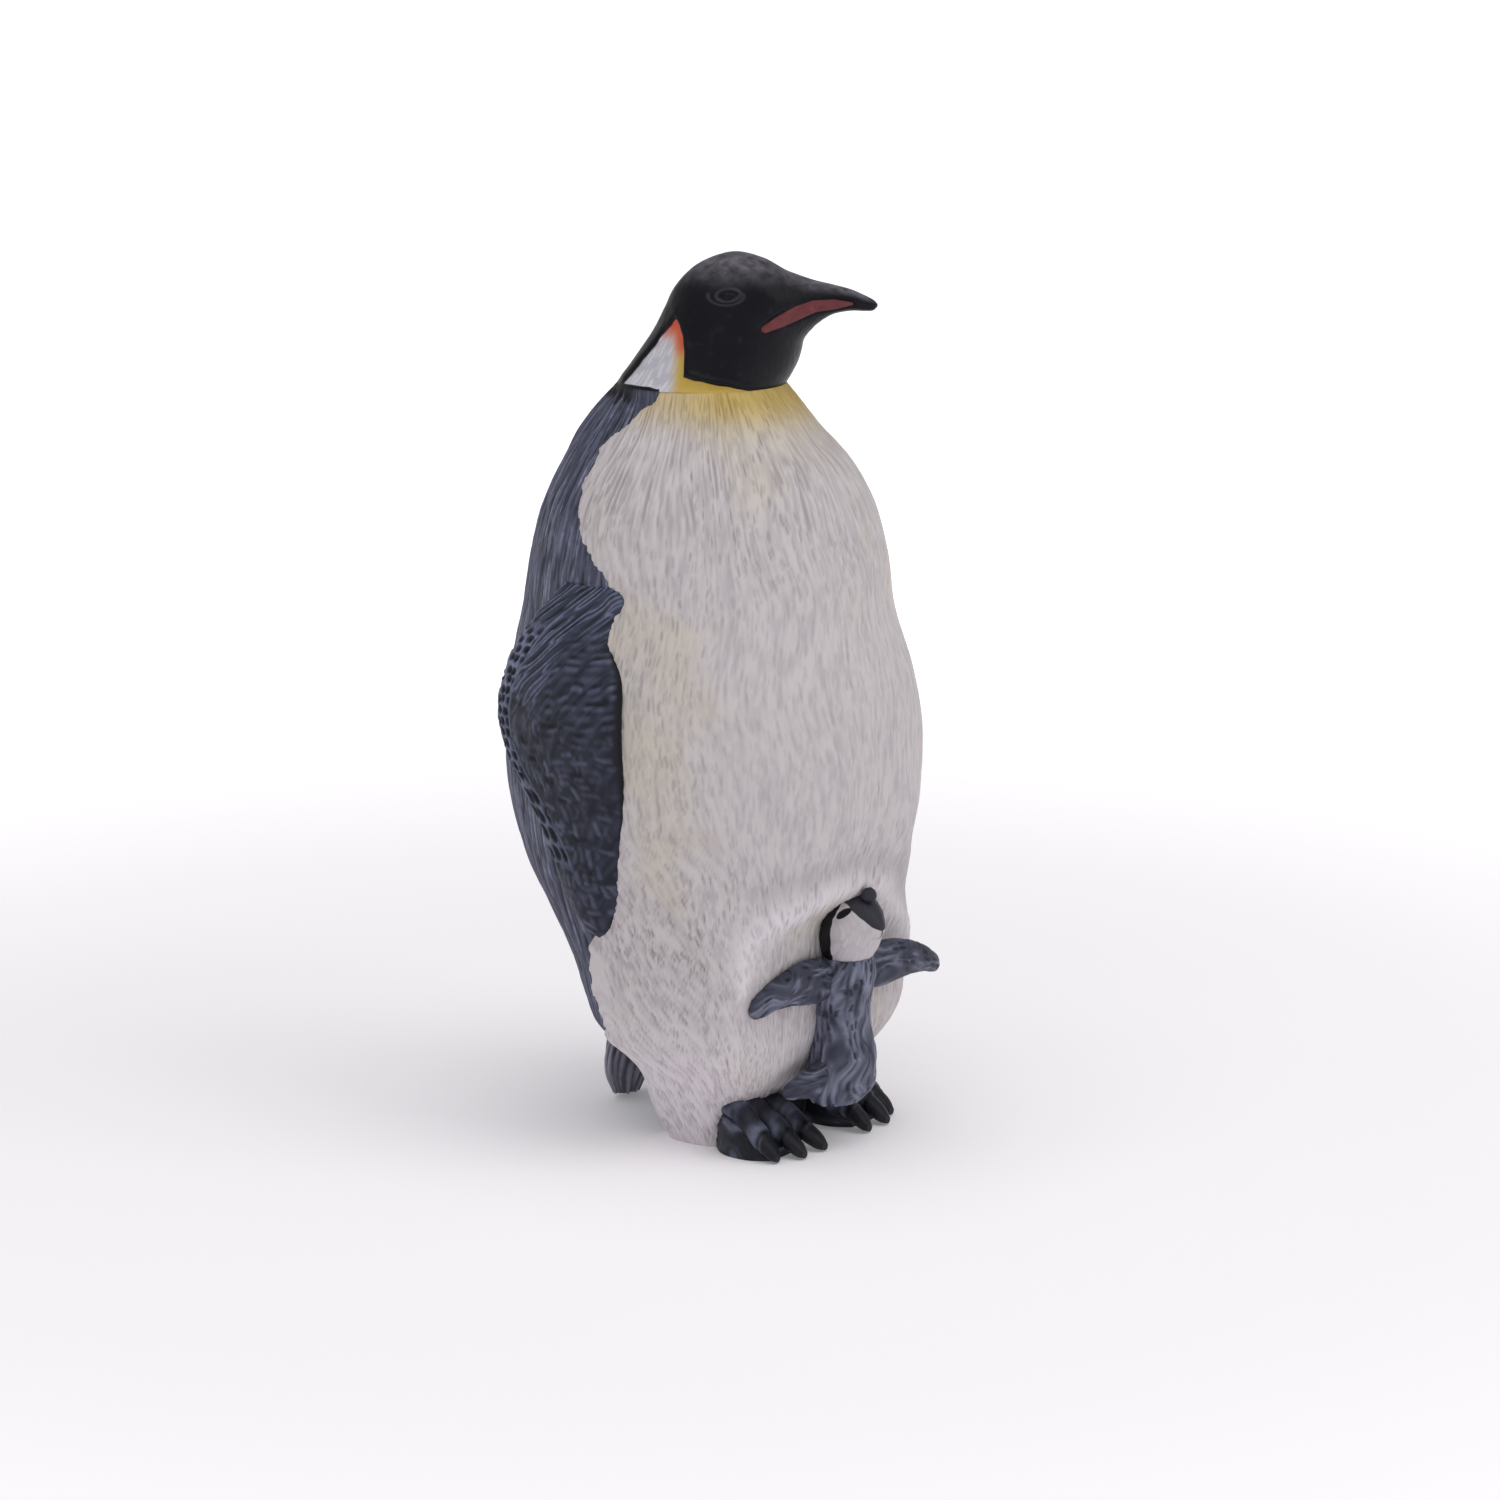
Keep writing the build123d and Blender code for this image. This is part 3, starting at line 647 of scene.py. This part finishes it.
def paintHead(tree):
    # black hood, dusty and with a painted highlight on the crown and bill top, over white, gold and orange skin,
    # with a red plate on the bill
    skin = blend(tree, between(tree, "ridge", 0.1, 0.8), *head["skin"])
    skin = blend(tree, "gold", skin, head["gold"])
    skin = blend(tree, "warm", skin, head["orange"])
    black = blend(tree, between(tree, speckle(tree, 1.2, 5.0), 0.55, 0.8), *head["black"])
    # dust and painted highlight on the crown and bill top
    black = wash(tree, black, "worn", between(tree, speckle(tree, 1.0, 5.0), 0.1, 0.9), head["dustAndTopHighlight"])
    black = wash(tree, black, "eye", 0.6, head["eyeball"])
    black = wash(tree, black, "rim", 0.6, head["eyeRim"])
    plate = blend(tree, speckle(tree, 0.8), *head["red"])
    black = blend(tree, between(tree, "plate", -0.05, 0.08), black, plate)
    return blend(tree, between(tree, "hood", -0.04, 0.06), skin, black)


hoodPaint = makePaint("hoodPaint", head["sheen"], head["grain"], paintHead)
makePiece("hood", "head", hoodPaint, [headSkin()])


flipper = {
    # height, angle from the breast, half chord, half thickness
    "sections": [
        (22.9, 95.8, 0.4, 0.7), (23.5, 96, 1.3, 1.4), (24.6, 96.1, 2.2, 1.8), (27, 96.5, 3.3, 2.2),
        (32, 98, 4.7, 2.4), (36, 100, 6.2, 2.6), (40, 104, 8, 2.8), (44.5, 107, 9, 2.9), (49, 106, 8.4, 2.6),
        (54, 101, 6.4, 1.7), (58, 95, 3.6, 0.5),
    ],
    "sink": 0.7,
    "flare": 5,
    "grid": (260, 340),
    "relief": 0.22,
    "notch": (53, 2.6, 2.1),  # leading edge: height, spread, depth
    "knob": (57, 0.8, 1, 0.8),  # shoulder: height, place on the chord, radius, how proud
    # strokes: width, length, seed and, for cuts, the share that is cut
    "slant": (0.5, 3, 37),
    "comb": (0.45, 3.4, 47),
    "weave": ((0.8, 2.2, 41, 0.55), (0.8, 2.2, 43, 0.55)),
    "dash": (0.9, 2.6, 31, 0.9),
    "nick": ((0.8, 2.6, 35, 0.35), (0.9, 2.4, 39, 0.3)),
    "pits": (39, 1.05, 1.8, 1.3),  # rear edge: height where they change, tall above and below it, wide
    "pitSeeds": (51, 52),
    "paint": ((12, 13, 19), (27, 29, 40), (56, 60, 78), (116, 122, 149)),
}


def flipperTooling(height, chord, halfChord):
    # slanted lines above, a weave of strokes below, bars at the front, and a band of pits along the rear edge
    # with a keel line. Gives strands, raised lines, cuts and how strongly they show
    fromEdge = halfChord - chord
    upper = ramp(height, 43, 49)
    diagonal = (chord + 0.8 * height) / 1.28
    slant = wires(diagonal + 0.6 * cloud(chord / 3, height / 3, 33), height, *flipper["slant"])
    upright, level = flipper["weave"]
    weave = np.maximum(cuts(chord, height, *upright), cuts(height, chord + 40, *level))
    front = ramp(-chord / halfChord, -0.1, 0.2) * ramp(height, 42, 45) * (1 - ramp(height, 52, 55))
    dash = cuts(height + 0.12 * chord, chord + 30, *flipper["dash"]) * front
    bar = cuts(height + 0.12 * chord + 0.45, chord + 30, *flipper["dash"]) * front
    high, low = flipper["nick"]
    nick = cuts(diagonal, height, *high) * upper + cuts(height, chord + 40, *low) * (1 - upper)
    turnHeight, tallAbove, tallBelow, wide = flipper["pits"]
    tall = np.where(height > turnHeight, tallAbove, tallBelow)
    i, j = height / tall, fromEdge / wide + 0.5 * (np.floor(height / tall) % 2)
    moveI, moveJ = (0.36 * (chance(np.floor(i), np.floor(j), seed) - 0.5) for seed in flipper["pitSeeds"])
    pit = np.hypot(i - np.floor(i) - 0.5 + moveI, j - np.floor(j) - 0.5 + moveJ)
    band = (1 - ramp(fromEdge, 3.5, 3.9)) * ramp(height, 28, 32) * (1 - ramp(height, 52, 55))
    keel = bell(fromEdge - 4.0, 0.2) * ramp(height, 28, 32) * (1 - ramp(height, 52, 55))
    wire = upper * slant + (1 - upper) * 0.8 * weave
    wire = np.maximum(wire * (1 - front), 0.7 * bar)
    wire = np.maximum(wire * (1 - band), np.maximum(band * ramp(pit, 0.38, 0.5), keel))
    cut = np.maximum(dash, nick) * (1 - band) + band * (1 - ramp(pit, 0.2, 0.4))
    comb = strands(diagonal, height - chord, *flipper["comb"])
    return comb, wire, cut, 0.6 + 0.4 * upper


def flipperSkin():
    # ellipses up the side of the body, their chord square to the body's radius and flared at the back
    height, spin = grid(flipper["sections"], *flipper["grid"])
    angle, halfChord, halfThick = readTable(flipper["sections"], height)
    turn, flare = np.radians(angle), np.radians(flipper["flare"])
    middle = onBody(height, turn, -flipper["sink"])
    outward = np.stack([-np.sin(turn), -np.cos(turn), 0 * turn], axis=-1)
    rearward = np.stack([-np.cos(turn), np.sin(turn), 0 * turn], axis=-1)
    chordWay = np.cos(flare) * rearward + np.sin(flare) * outward
    thickWay = np.cos(flare) * outward - np.sin(flare) * rearward
    level, spread, deep = flipper["notch"]
    notch = deep * bell(height - level, spread)
    chord = np.cos(spin) * np.where(np.cos(spin) < 0, halfChord - notch, halfChord)
    thick = np.sin(spin) * halfThick
    points = middle + chord[..., None] * chordWay + thick[..., None] * thickWay

    comb, wire, cut, strength = flipperTooling(height, chord, halfChord)
    lead = (1 - ramp(np.sin(spin), 0.02, 0.3)) * ramp(-chord / halfChord, 0.4, 0.9)  # smooth leading edge, whose underside against the body is painted dark as painted shade
    level, place, radius, proud = flipper["knob"]
    knob = proud * bell(np.hypot(height - level, chord + place * halfChord), radius)
    relief = flipper["relief"] * (0.6 * comb + 0.45 * wire - 0.9 * cut) * (1 - lead) * ramp(height, 23, 26) + knob
    shown = (1 - lead) * strength
    # cut takes the painted shade under the leading edge as well as the tooled cuts
    values = {"ridge": comb * shown, "wire": wire * shown, "cut": np.maximum(cut, 0.7 * lead)}
    return raised(points, relief), values


flipperPaint = paintDark("flipperPaint", flipper["paint"])
rightFlipper, flipperValues = flipperSkin()
makePiece("flipperRight", "right_flipper", flipperPaint, [(rightFlipper, flipperValues)])
makePiece("flipperLeft", "left_flipper", flipperPaint, [(rightFlipper * mirror, flipperValues)])


tail = {
    # place, distance back, height, half width, half thickness
    "sections": [
        (0, 4, 13, 3.6, 2), (1, 8.2, 9, 3.8, 2.2), (2, 10.2, 5, 3.6, 1.9), (2.5, 10.6, 2.8, 3.1, 1.5),
        (3, 10.9, 0.6, 1.8, 0.9),
    ],
    "grid": (110, 140),
    "relief": 0.3,
    "lowest": 0.03,  # clearance over the floor
    # lighter than the other dark paints: painted light that lifts the tail out of the shade it sits in
    "paint": ((28, 28, 35), (84, 82, 95), (138, 135, 149), (172, 170, 184)),
}


def tailSkin():
    # ellipses square to a line that runs back and down from the rump, with long feather grooves
    place, spin = grid(tail["sections"], *tail["grid"])
    back, height, halfWidth, halfThick = readTable(tail["sections"], place)
    alongBack, alongDown = np.gradient(back, axis=0), np.gradient(height, axis=0)
    size = np.hypot(alongBack, alongDown)
    x, thick = np.cos(spin) * halfWidth, np.sin(spin) * halfThick
    y = back - thick * alongDown / size
    z = height + thick * alongBack / size
    points = np.stack([x, y, z], axis=-1)
    spread, run = spin * 3 + 0 * place, place * 4 + 0 * spin
    ridge = strokes(spread, run, 1.0, 14.0, 47, 0.4)[0]
    wire = cuts(spread + 0.3, run, 0.75, 9.0, 49, 0.6)
    cut = cuts(spread, run, 0.7, 5.0, 50, 0.45)
    points = raised(points, tail["relief"] * (ridge + 0.3 * wire - 0.6 * cut))
    points[..., 2] = np.clip(points[..., 2], tail["lowest"], None)
    return points, {"ridge": ridge, "wire": wire, "cut": cut}


# the tail's paint carries painted light
makePiece("tailFeathers", "tail", paintDark("tailPaintWithPaintedLight", tail["paint"]), [tailSkin()])


foot = {
    "spacing": 7.1,
    # forward, half width, height of the arched instep
    "instep": [(7.6, 1.9, 4.6), (9.2, 3.3, 5.6), (11.6, 3.9, 4.9), (13.4, 3.6, 3.1), (15, 2.6, 1.2)],
    "instepGrid": (70, 90, 14),  # rings, columns over the arch, columns across the sole
    "claws": [(-2.9, 16.1), (-0.2, 17.5), (3.2, 17.6)],  # side, forward
    "toeRoot": 7.5,
    # share of the way to the claw, height, half width, half height
    "toe": [
        (0, 4.5, 0.9, 0.9), (0.25, 4.75, 1.2, 1.05), (0.45, 4, 1.3, 1.15), (0.65, 2.75, 1.25, 1.15),
        (0.82, 1.65, 1.1, 1), (0.94, 0.95, 0.85, 0.75), (1, 0.6, 0.45, 0.42),
    ],
    "toeGrid": (150, 80),
    "clawFrom": 0.78,
    "lowest": 0.02,  # clearance over the floor
    "relief": 0.12,
    "roughness": 0.42,
    "paint": ((10, 10, 14), (27, 28, 35), (54, 56, 69), (108, 114, 134)),
}


def instepSkin():
    # blunt half ovals over a flat sole
    rings, columns, soleColumns = foot["instepGrid"]
    forward = grid(foot["instep"], rings, columns)[0]
    arch = np.linspace(0, np.pi, columns)[None, :]
    halfWidth, top = readTable(foot["instep"], forward)
    x = np.sign(np.cos(arch)) * np.abs(np.cos(arch)) ** 0.8 * halfWidth
    z = np.abs(np.sin(arch)) ** 0.75 * top
    points = np.stack([x - foot["spacing"], -forward + 0 * arch, z], axis=-1)
    girth = arch * 3.6 + 0 * forward
    sway = 1.8 * (cloud(girth / 1.4, forward / 1.6 + 0 * arch, 51) - 0.5)
    comb = strands(girth + sway, forward + sway, 0.62, 1.7, 53)
    gap = cuts(girth + sway, forward + sway, 0.7, 1.6, 54, 0.5)
    points = raised(points, foot["relief"] * (2.4 * comb - 1.5 * gap) * ramp(z, 0.2, 1.2), False)
    sole = np.linspace(-1, 1, soleColumns)[None, 1:-1]
    under = np.stack([sole * halfWidth - foot["spacing"], -forward + 0 * sole, 0 * forward + 0 * sole], axis=-1)
    fields = {"ridge": comb, "wire": ramp(comb, 0.55, 0.8), "cut": gap}
    values = {key: np.hstack([field, 0 * under[..., 0]]) for key, field in fields.items()}
    return np.concatenate([points, under], axis=1), values


def toeSkin(side, reach, seed):
    # ellipses that arch forward and down to the claw
    share, spin = grid(foot["toe"], *foot["toeGrid"])
    height, halfWidth, halfTall = readTable(foot["toe"], share)
    along = foot["toeRoot"] + share * (reach - foot["toeRoot"])
    x = side * (0.6 + 0.4 * share) - foot["spacing"] + np.cos(spin) * halfWidth
    z = height + np.sin(spin) * halfTall
    points = np.stack([x, -along + 0 * spin, z], axis=-1)
    bent = np.abs((spin + np.pi / 2) % (2 * np.pi) - np.pi) * 1.2
    comb = strands(along + 0 * spin, bent + 0 * along, 0.9, 3.0, seed)
    wire = ramp(comb, 0.55, 0.85)
    claw = ramp(share, foot["clawFrom"], 0.84) + 0 * spin
    crease = bell(share - foot["clawFrom"], 0.025) + 0 * spin
    points = raised(points, foot["relief"] * (comb + 0.5 * wire) * (1 - claw) - 0.1 * crease)
    points[..., 2] = np.clip(points[..., 2], foot["lowest"], None)
    return points, {"ridge": comb * (1 - 0.6 * claw), "wire": wire * (1 - claw), "cut": crease}


footPaint = paintDark("footPaint", foot["paint"], foot["roughness"])
footParts = [instepSkin()]
footParts += [toeSkin(side, reach, 59 + index) for index, (side, reach) in enumerate(foot["claws"])]
makePiece("footRight", "right_foot", footPaint, footParts)
leftParts = [(points * mirror, values) for points, values in footParts]
makePiece("footLeft", "left_foot", footPaint, leftParts)


chick = {
    "forward": 16.77,
    "turn": -9,
    # height, half width, half depth, forward
    "body": [
        (4.8, 2.6, 2.2, 0.3), (6.2, 3.7, 3.2, 0.3), (8.6, 3.55, 3.4, 0.2), (12.5, 2.75, 3, 0),
        (15, 2.75, 2.8, 0.1), (17.8, 3.3, 2.9, 0.4), (19.8, 2.5, 2.5, 0.8),
    ],
    "bodyGrid": (170, 200),
    "sway": 1,  # lean of the trunk's foot to its right
    # latitude, height, half width, half depth, forward
    "head": [
        (-76, 19.8, 2.5, 2.5, 0.8), (-30, 21.3, 3, 3.1, 1.1), (0, 23.2, 3.2, 3.3, 1.3),
        (37, 25, 2.6, 2.75, 1.5), (60, 25.9, 1.7, 1.85, 1.65), (80, 26.3, 0.6, 0.65, 1.7),
        (90, 26.35, 0.05, 0.05, 1.7),
    ],
    "headGrid": (150, 180),
    "headMiddle": 23.2,  # height of the widest ring
    "bill": (2.1, 1.35, 1.1),  # rise of its middle over the widest ring, radius, reach
    "eye": (1.05, 1.68, 0.6, 0.55),  # ahead, rise, half length, half height
    "tuft": (3.8, 26.6, 0.78),  # forward, height, size
    "tuftGrid": (40, 60),
    # out, height, forward, half chord, half thickness
    "wing": [
        (1.8, 17.6, 0.3, 1.8, 1), (5, 18, 0.7, 2.3, 1.2), (8.6, 18, 0.9, 1.8, 1.2), (11.2, 17.4, 0.8, 1.35, 1),
        (12.5, 16.8, 0.65, 1.1, 0.85), (13.2, 16.5, 0.55, 0.75, 0.6), (13.55, 16.35, 0.5, 0.15, 0.15),
    ],
    "wingGrid": (120, 110),
    "tail": [
        (1, 8.2, 0.4, 2.2, 1.6), (4, 7.4, 0.4, 1.7, 1.4), (6.4, 7, 0.2, 1.05, 1), (7.9, 6.8, 0, 0.55, 0.55),
        (8.4, 6.75, 0, 0.12, 0.12),
    ],
    "tailGrid": (60, 90),
    "relief": 0.17,
    "limbShare": 0.6,  # of the down's relief
    "paint": ((16, 17, 24), (56, 58, 73), (116, 119, 139), (150, 154, 175)),
    "sheen": (0.5, 0.25),
    "faceGrain": (0.3, 0.02),
    "white": ((186, 180, 185), (200, 195, 198)),
    "black": ((26, 24, 31), (48, 47, 57)),  # back of the head, bill
    "eyeball": (12, 12, 14),
}


def placeChick(points):
    # from the chick's own axis to its place
    return placed(points, chick["turn"], -chick["forward"])


def down(across, along, seed):
    # swirled tufts of down: strands, lit on their crests, and cuts on a field bent by soft noise
    bend = 2.0 * (cloud(across / 2.0, along / 2.4, seed) - 0.5)
    comb = strands(across + bend, along + bend, 0.42, 1.8, seed + 1)
    wire = ramp(comb, 0.58, 0.85)
    cut = cuts(across + bend, along + 0.5 * bend, 0.5, 1.1, seed + 3, 0.55)
    return chick["relief"] * (1.4 * comb - 1.2 * cut), {"ridge": comb, "wire": 0.4 * wire, "cut": cut}


def chickTrunk():
    # upright ellipses whose foot leans to one side
    height, spin = grid(chick["body"], *chick["bodyGrid"], -np.pi)
    halfWidth, halfDepth, forward = readTable(chick["body"], height)
    x = np.sin(spin) * halfWidth - chick["sway"] * (1 - ramp(height, 4.5, 10))
    points = np.stack([x, -np.cos(spin) * halfDepth - forward, height + 0 * spin], axis=-1)
    relief, values = down(spin * 3.2 + 0 * height, height + 0 * spin, 61)
    return placeChick(raised(points, relief)), values


def chickLimb(sections, side, size, seed):
    # ellipses square to a line out to the side
    out, spin = grid(sections, *size)
    height, forward, halfChord, halfThick = readTable(sections, out)
    chord, thick = np.cos(spin) * halfChord, np.sin(spin) * halfThick
    points = np.stack([side * out + 0 * spin, -forward - thick, height + chord], axis=-1)
    relief, values = down(chord + 0 * out, out + 0 * spin, seed)
    values["ridge"] = chick["limbShare"] * values["ridge"]
    return placeChick(raised(points, chick["limbShare"] * relief * ramp(halfThick, 0.3, 1.0))), values


def chickHead():
    # a round head over its latitudes, drawn out to a drooping bill at the front
    latitude, spin = grid(chick["head"], *chick["headGrid"])
    height, halfWidth, halfDepth, middle = readTable(chick["head"], latitude)
    side, ahead = np.sin(spin) * halfWidth, np.cos(spin) * halfDepth
    rise = height - chick["headMiddle"] + 0 * spin
    level, radius, reach = chick["bill"]
    axis = level - 0.5 * ahead.clip(0)
    bump = np.exp(-(side ** 2 + (rise - axis) ** 2) / radius ** 2) * ramp(ahead, 0.6, 2.4)
    y, z = -ahead - middle - reach * bump * 0.9, height - reach * bump * 0.4
    points = np.stack([side, y, z], axis=-1)

    beak = 1.9 * np.clip((rise - 0.5) / 1.5, 0, 1) ** 0.42 - np.abs(side)
    beak = np.where(ahead > 0.4, beak, -1.0)
    crown = np.maximum(rise - 2.75 + 0.15 * ahead, 0.35 - ahead)
    dark = np.maximum(beak, crown) + 0.2 * (cloud(rise / 0.5, side / 0.5, 71) - 0.5)
    eyeAhead, eyeRise, eyeLong, eyeTall = chick["eye"]
    eye = 1 - np.hypot((ahead - eyeAhead) / eyeLong, (rise - eyeRise - 0.4 * (ahead - eyeAhead)) / eyeTall)
    eye = np.where(np.abs(side) > 1.2, eye, -1.0)
    fine = strokes(side * 2, rise + 0.3 * ahead, 0.6, 2.0, 73)[0]
    relief = 0.05 * fine - 0.1 * ramp(eye, 0.0, 0.3) + 0.08 * ramp(dark, -0.1, 0.1)
    return placeChick(raised(points, relief)), {"dark": dark, "eye": eye, "beak": beak, "ridge": fine}


def chickTuft():
    # a ball with three soft lobes on the front of the crown
    forward, height, size = chick["tuft"]
    latitude, spin = grid([(-89,), (89,)], *chick["tuftGrid"])
    latitude = np.radians(latitude)
    lump = size * (1 + 0.08 * np.cos(3 * spin) * np.cos(latitude))
    x = np.cos(latitude) * np.sin(spin) * lump
    y = -forward - np.cos(latitude) * np.cos(spin) * lump
    points = np.stack([x, y, height + np.sin(latitude) * lump], axis=-1)
    ones = np.ones(points.shape[:2])
    return placeChick(points), {"dark": ones, "eye": -ones, "beak": ones, "ridge": 0.5 * ones}


def paintChickFace(tree):
    # white face under a dark cap and bill, with dark eyes
    white = blend(tree, "ridge", *chick["white"])
    black = blend(tree, between(tree, "beak", -0.1, 0.1), *chick["black"])
    colour = blend(tree, between(tree, "dark", -0.04, 0.06), white, black)
    return blend(tree, between(tree, "eye", 0.0, 0.15), colour, chick["eyeball"])


chickPaint = paintDark("chickPaint", chick["paint"])
facePaint = makePaint("chickFacePaint", chick["sheen"], chick["faceGrain"], paintChickFace)
makePiece("chickDown", "chick_body", chickPaint,
          [chickTrunk(), chickLimb(chick["tail"], -1, chick["tailGrid"], 67)])
makePiece("chickFace", "chick_head", facePaint, [chickHead(), chickTuft()])
for name, node, side, seed in (("chickWingRight", "chick_right_flipper", -1, 79),
                               ("chickWingLeft", "chick_left_flipper", 1, 83)):
    wing = chickLimb(chick["wing"], side, chick["wingGrid"], seed)
    makePiece(name, node, chickPaint, [wing])


stage = {
    "azimuth": -53.5,
    "elevation": 12.5,
    "distance": 450,
    "target": (0, 0, 45),
    "shift": (4.2, -6.2),  # camera and aim moved together, right and up
    "lens": 105.9,
    "sensor": 36,
    "floorSize": 6,  # lengths from here on are in metres
    "floorColour": (250, 247, 251),
    "floorSheen": (0.8, 0.2),
    "floorGlow": 0.12,
    "farGlow": (0.07, 0.32, 0.5),  # from, to, how much
    "sky": (0.06, 0.16, 0.6),  # dims upward: from, to, how much
    # name, place, aim, size, watts
    "lights": [
        ("keyLight", (0.13, -0.58, 0.6), (0, 0, 0.05), 0.5, 1.2),
        ("topLight", (-0.1, 0.0, 0.8), (0, 0, 0.05), 0.8, 2.7),
        ("fillLight", (-0.65, -0.2, 0.4), (0, 0, 0.04), 0.6, 0.2),
    ],
}


def makeFloor():
    # a white sheet that glows more with the distance
    size = stage["floorSize"]
    mesh = bpy.data.meshes.new("floor")
    mesh.from_pydata([(-size, -size, 0), (size, -size, 0), (size, size, 0), (-size, size, 0)], [], [(0, 1, 2, 3)])
    material, tree, shader = newPaint("floorPaint", *stage["floorSheen"])
    put(tree, shader.inputs["Base Color"], stage["floorColour"])
    place = tree.nodes.new("ShaderNodeTexCoord")
    away = tree.nodes.new("ShaderNodeVectorMath")
    away.operation = "LENGTH"
    tree.links.new(place.outputs["Object"], away.inputs[0])
    near, far, share = stage["farGlow"]
    glow = sums(tree, "MULTIPLY", between(tree, away.outputs["Value"], near, far), share)
    shader.inputs["Emission Color"].default_value = (1, 1, 1, 1)
    put(tree, shader.inputs["Emission Strength"], sums(tree, "ADD", glow, stage["floorGlow"]))
    mesh.materials.append(material)
    floor = bpy.data.objects.new("floor", mesh)
    bpy.context.scene.collection.objects.link(floor)


def turnTo(item, place, aim):
    # place an object and point its -Z axis at aim, with +Y up
    back = (place - aim) / np.linalg.norm(place - aim)
    right = np.cross([0, 0, 1], back)
    right /= np.linalg.norm(right)
    up = np.cross(back, right)
    turn = np.eye(4)
    turn[:3, 0], turn[:3, 1], turn[:3, 2], turn[:3, 3] = right, up, back, place
    item.matrix_world = Matrix(turn.tolist())
    return right, up


def makeLight(name, place, aim, size, watts):
    lamp = bpy.data.lights.new(name, "AREA")
    lamp.size = size
    lamp.energy = watts
    light = bpy.data.objects.new(name, lamp)
    bpy.context.scene.collection.objects.link(light)
    turnTo(light, np.array(place), np.array(aim))


def makeCamera():
    azimuth, elevation = np.radians(stage["azimuth"]), np.radians(stage["elevation"])
    flat = np.cos(elevation)
    away = np.array([np.sin(azimuth) * flat, -np.cos(azimuth) * flat, np.sin(elevation)])
    aim = np.array(stage["target"]) * mm
    place = aim + away * stage["distance"] * mm
    lens = bpy.data.cameras.new("camera")
    lens.lens = stage["lens"]
    lens.sensor_width = stage["sensor"]
    lens.clip_start = 0.01
    camera = bpy.data.objects.new("camera", lens)
    bpy.context.scene.collection.objects.link(camera)
    right, up = turnTo(camera, place, aim)
    move = (right * stage["shift"][0] + up * stage["shift"][1]) * mm
    turnTo(camera, place + move, aim + move)
    bpy.context.scene.camera = camera


def makeWorld():
    # white all round at the horizon, fading to a softer light above
    world = bpy.data.worlds.new("studio")
    world.use_nodes = True
    tree = world.node_tree
    background = tree.nodes["Background"]
    background.inputs["Color"].default_value = (1, 1, 1, 1)
    place = tree.nodes.new("ShaderNodeTexCoord")
    axes = tree.nodes.new("ShaderNodeSeparateXYZ")
    tree.links.new(place.outputs["Generated"], axes.inputs["Vector"])
    low, high, share = stage["sky"]
    above = sums(tree, "MULTIPLY", between(tree, axes.outputs["Z"], low, high), share)
    put(tree, background.inputs["Strength"], sums(tree, "SUBTRACT", 1.0, above))
    bpy.context.scene.world = world


makeWorld()
bpy.context.scene.view_settings.view_transform = "Standard"
makeFloor()
for light in stage["lights"]:
    makeLight(*light)
makeCamera()
print("stage set")
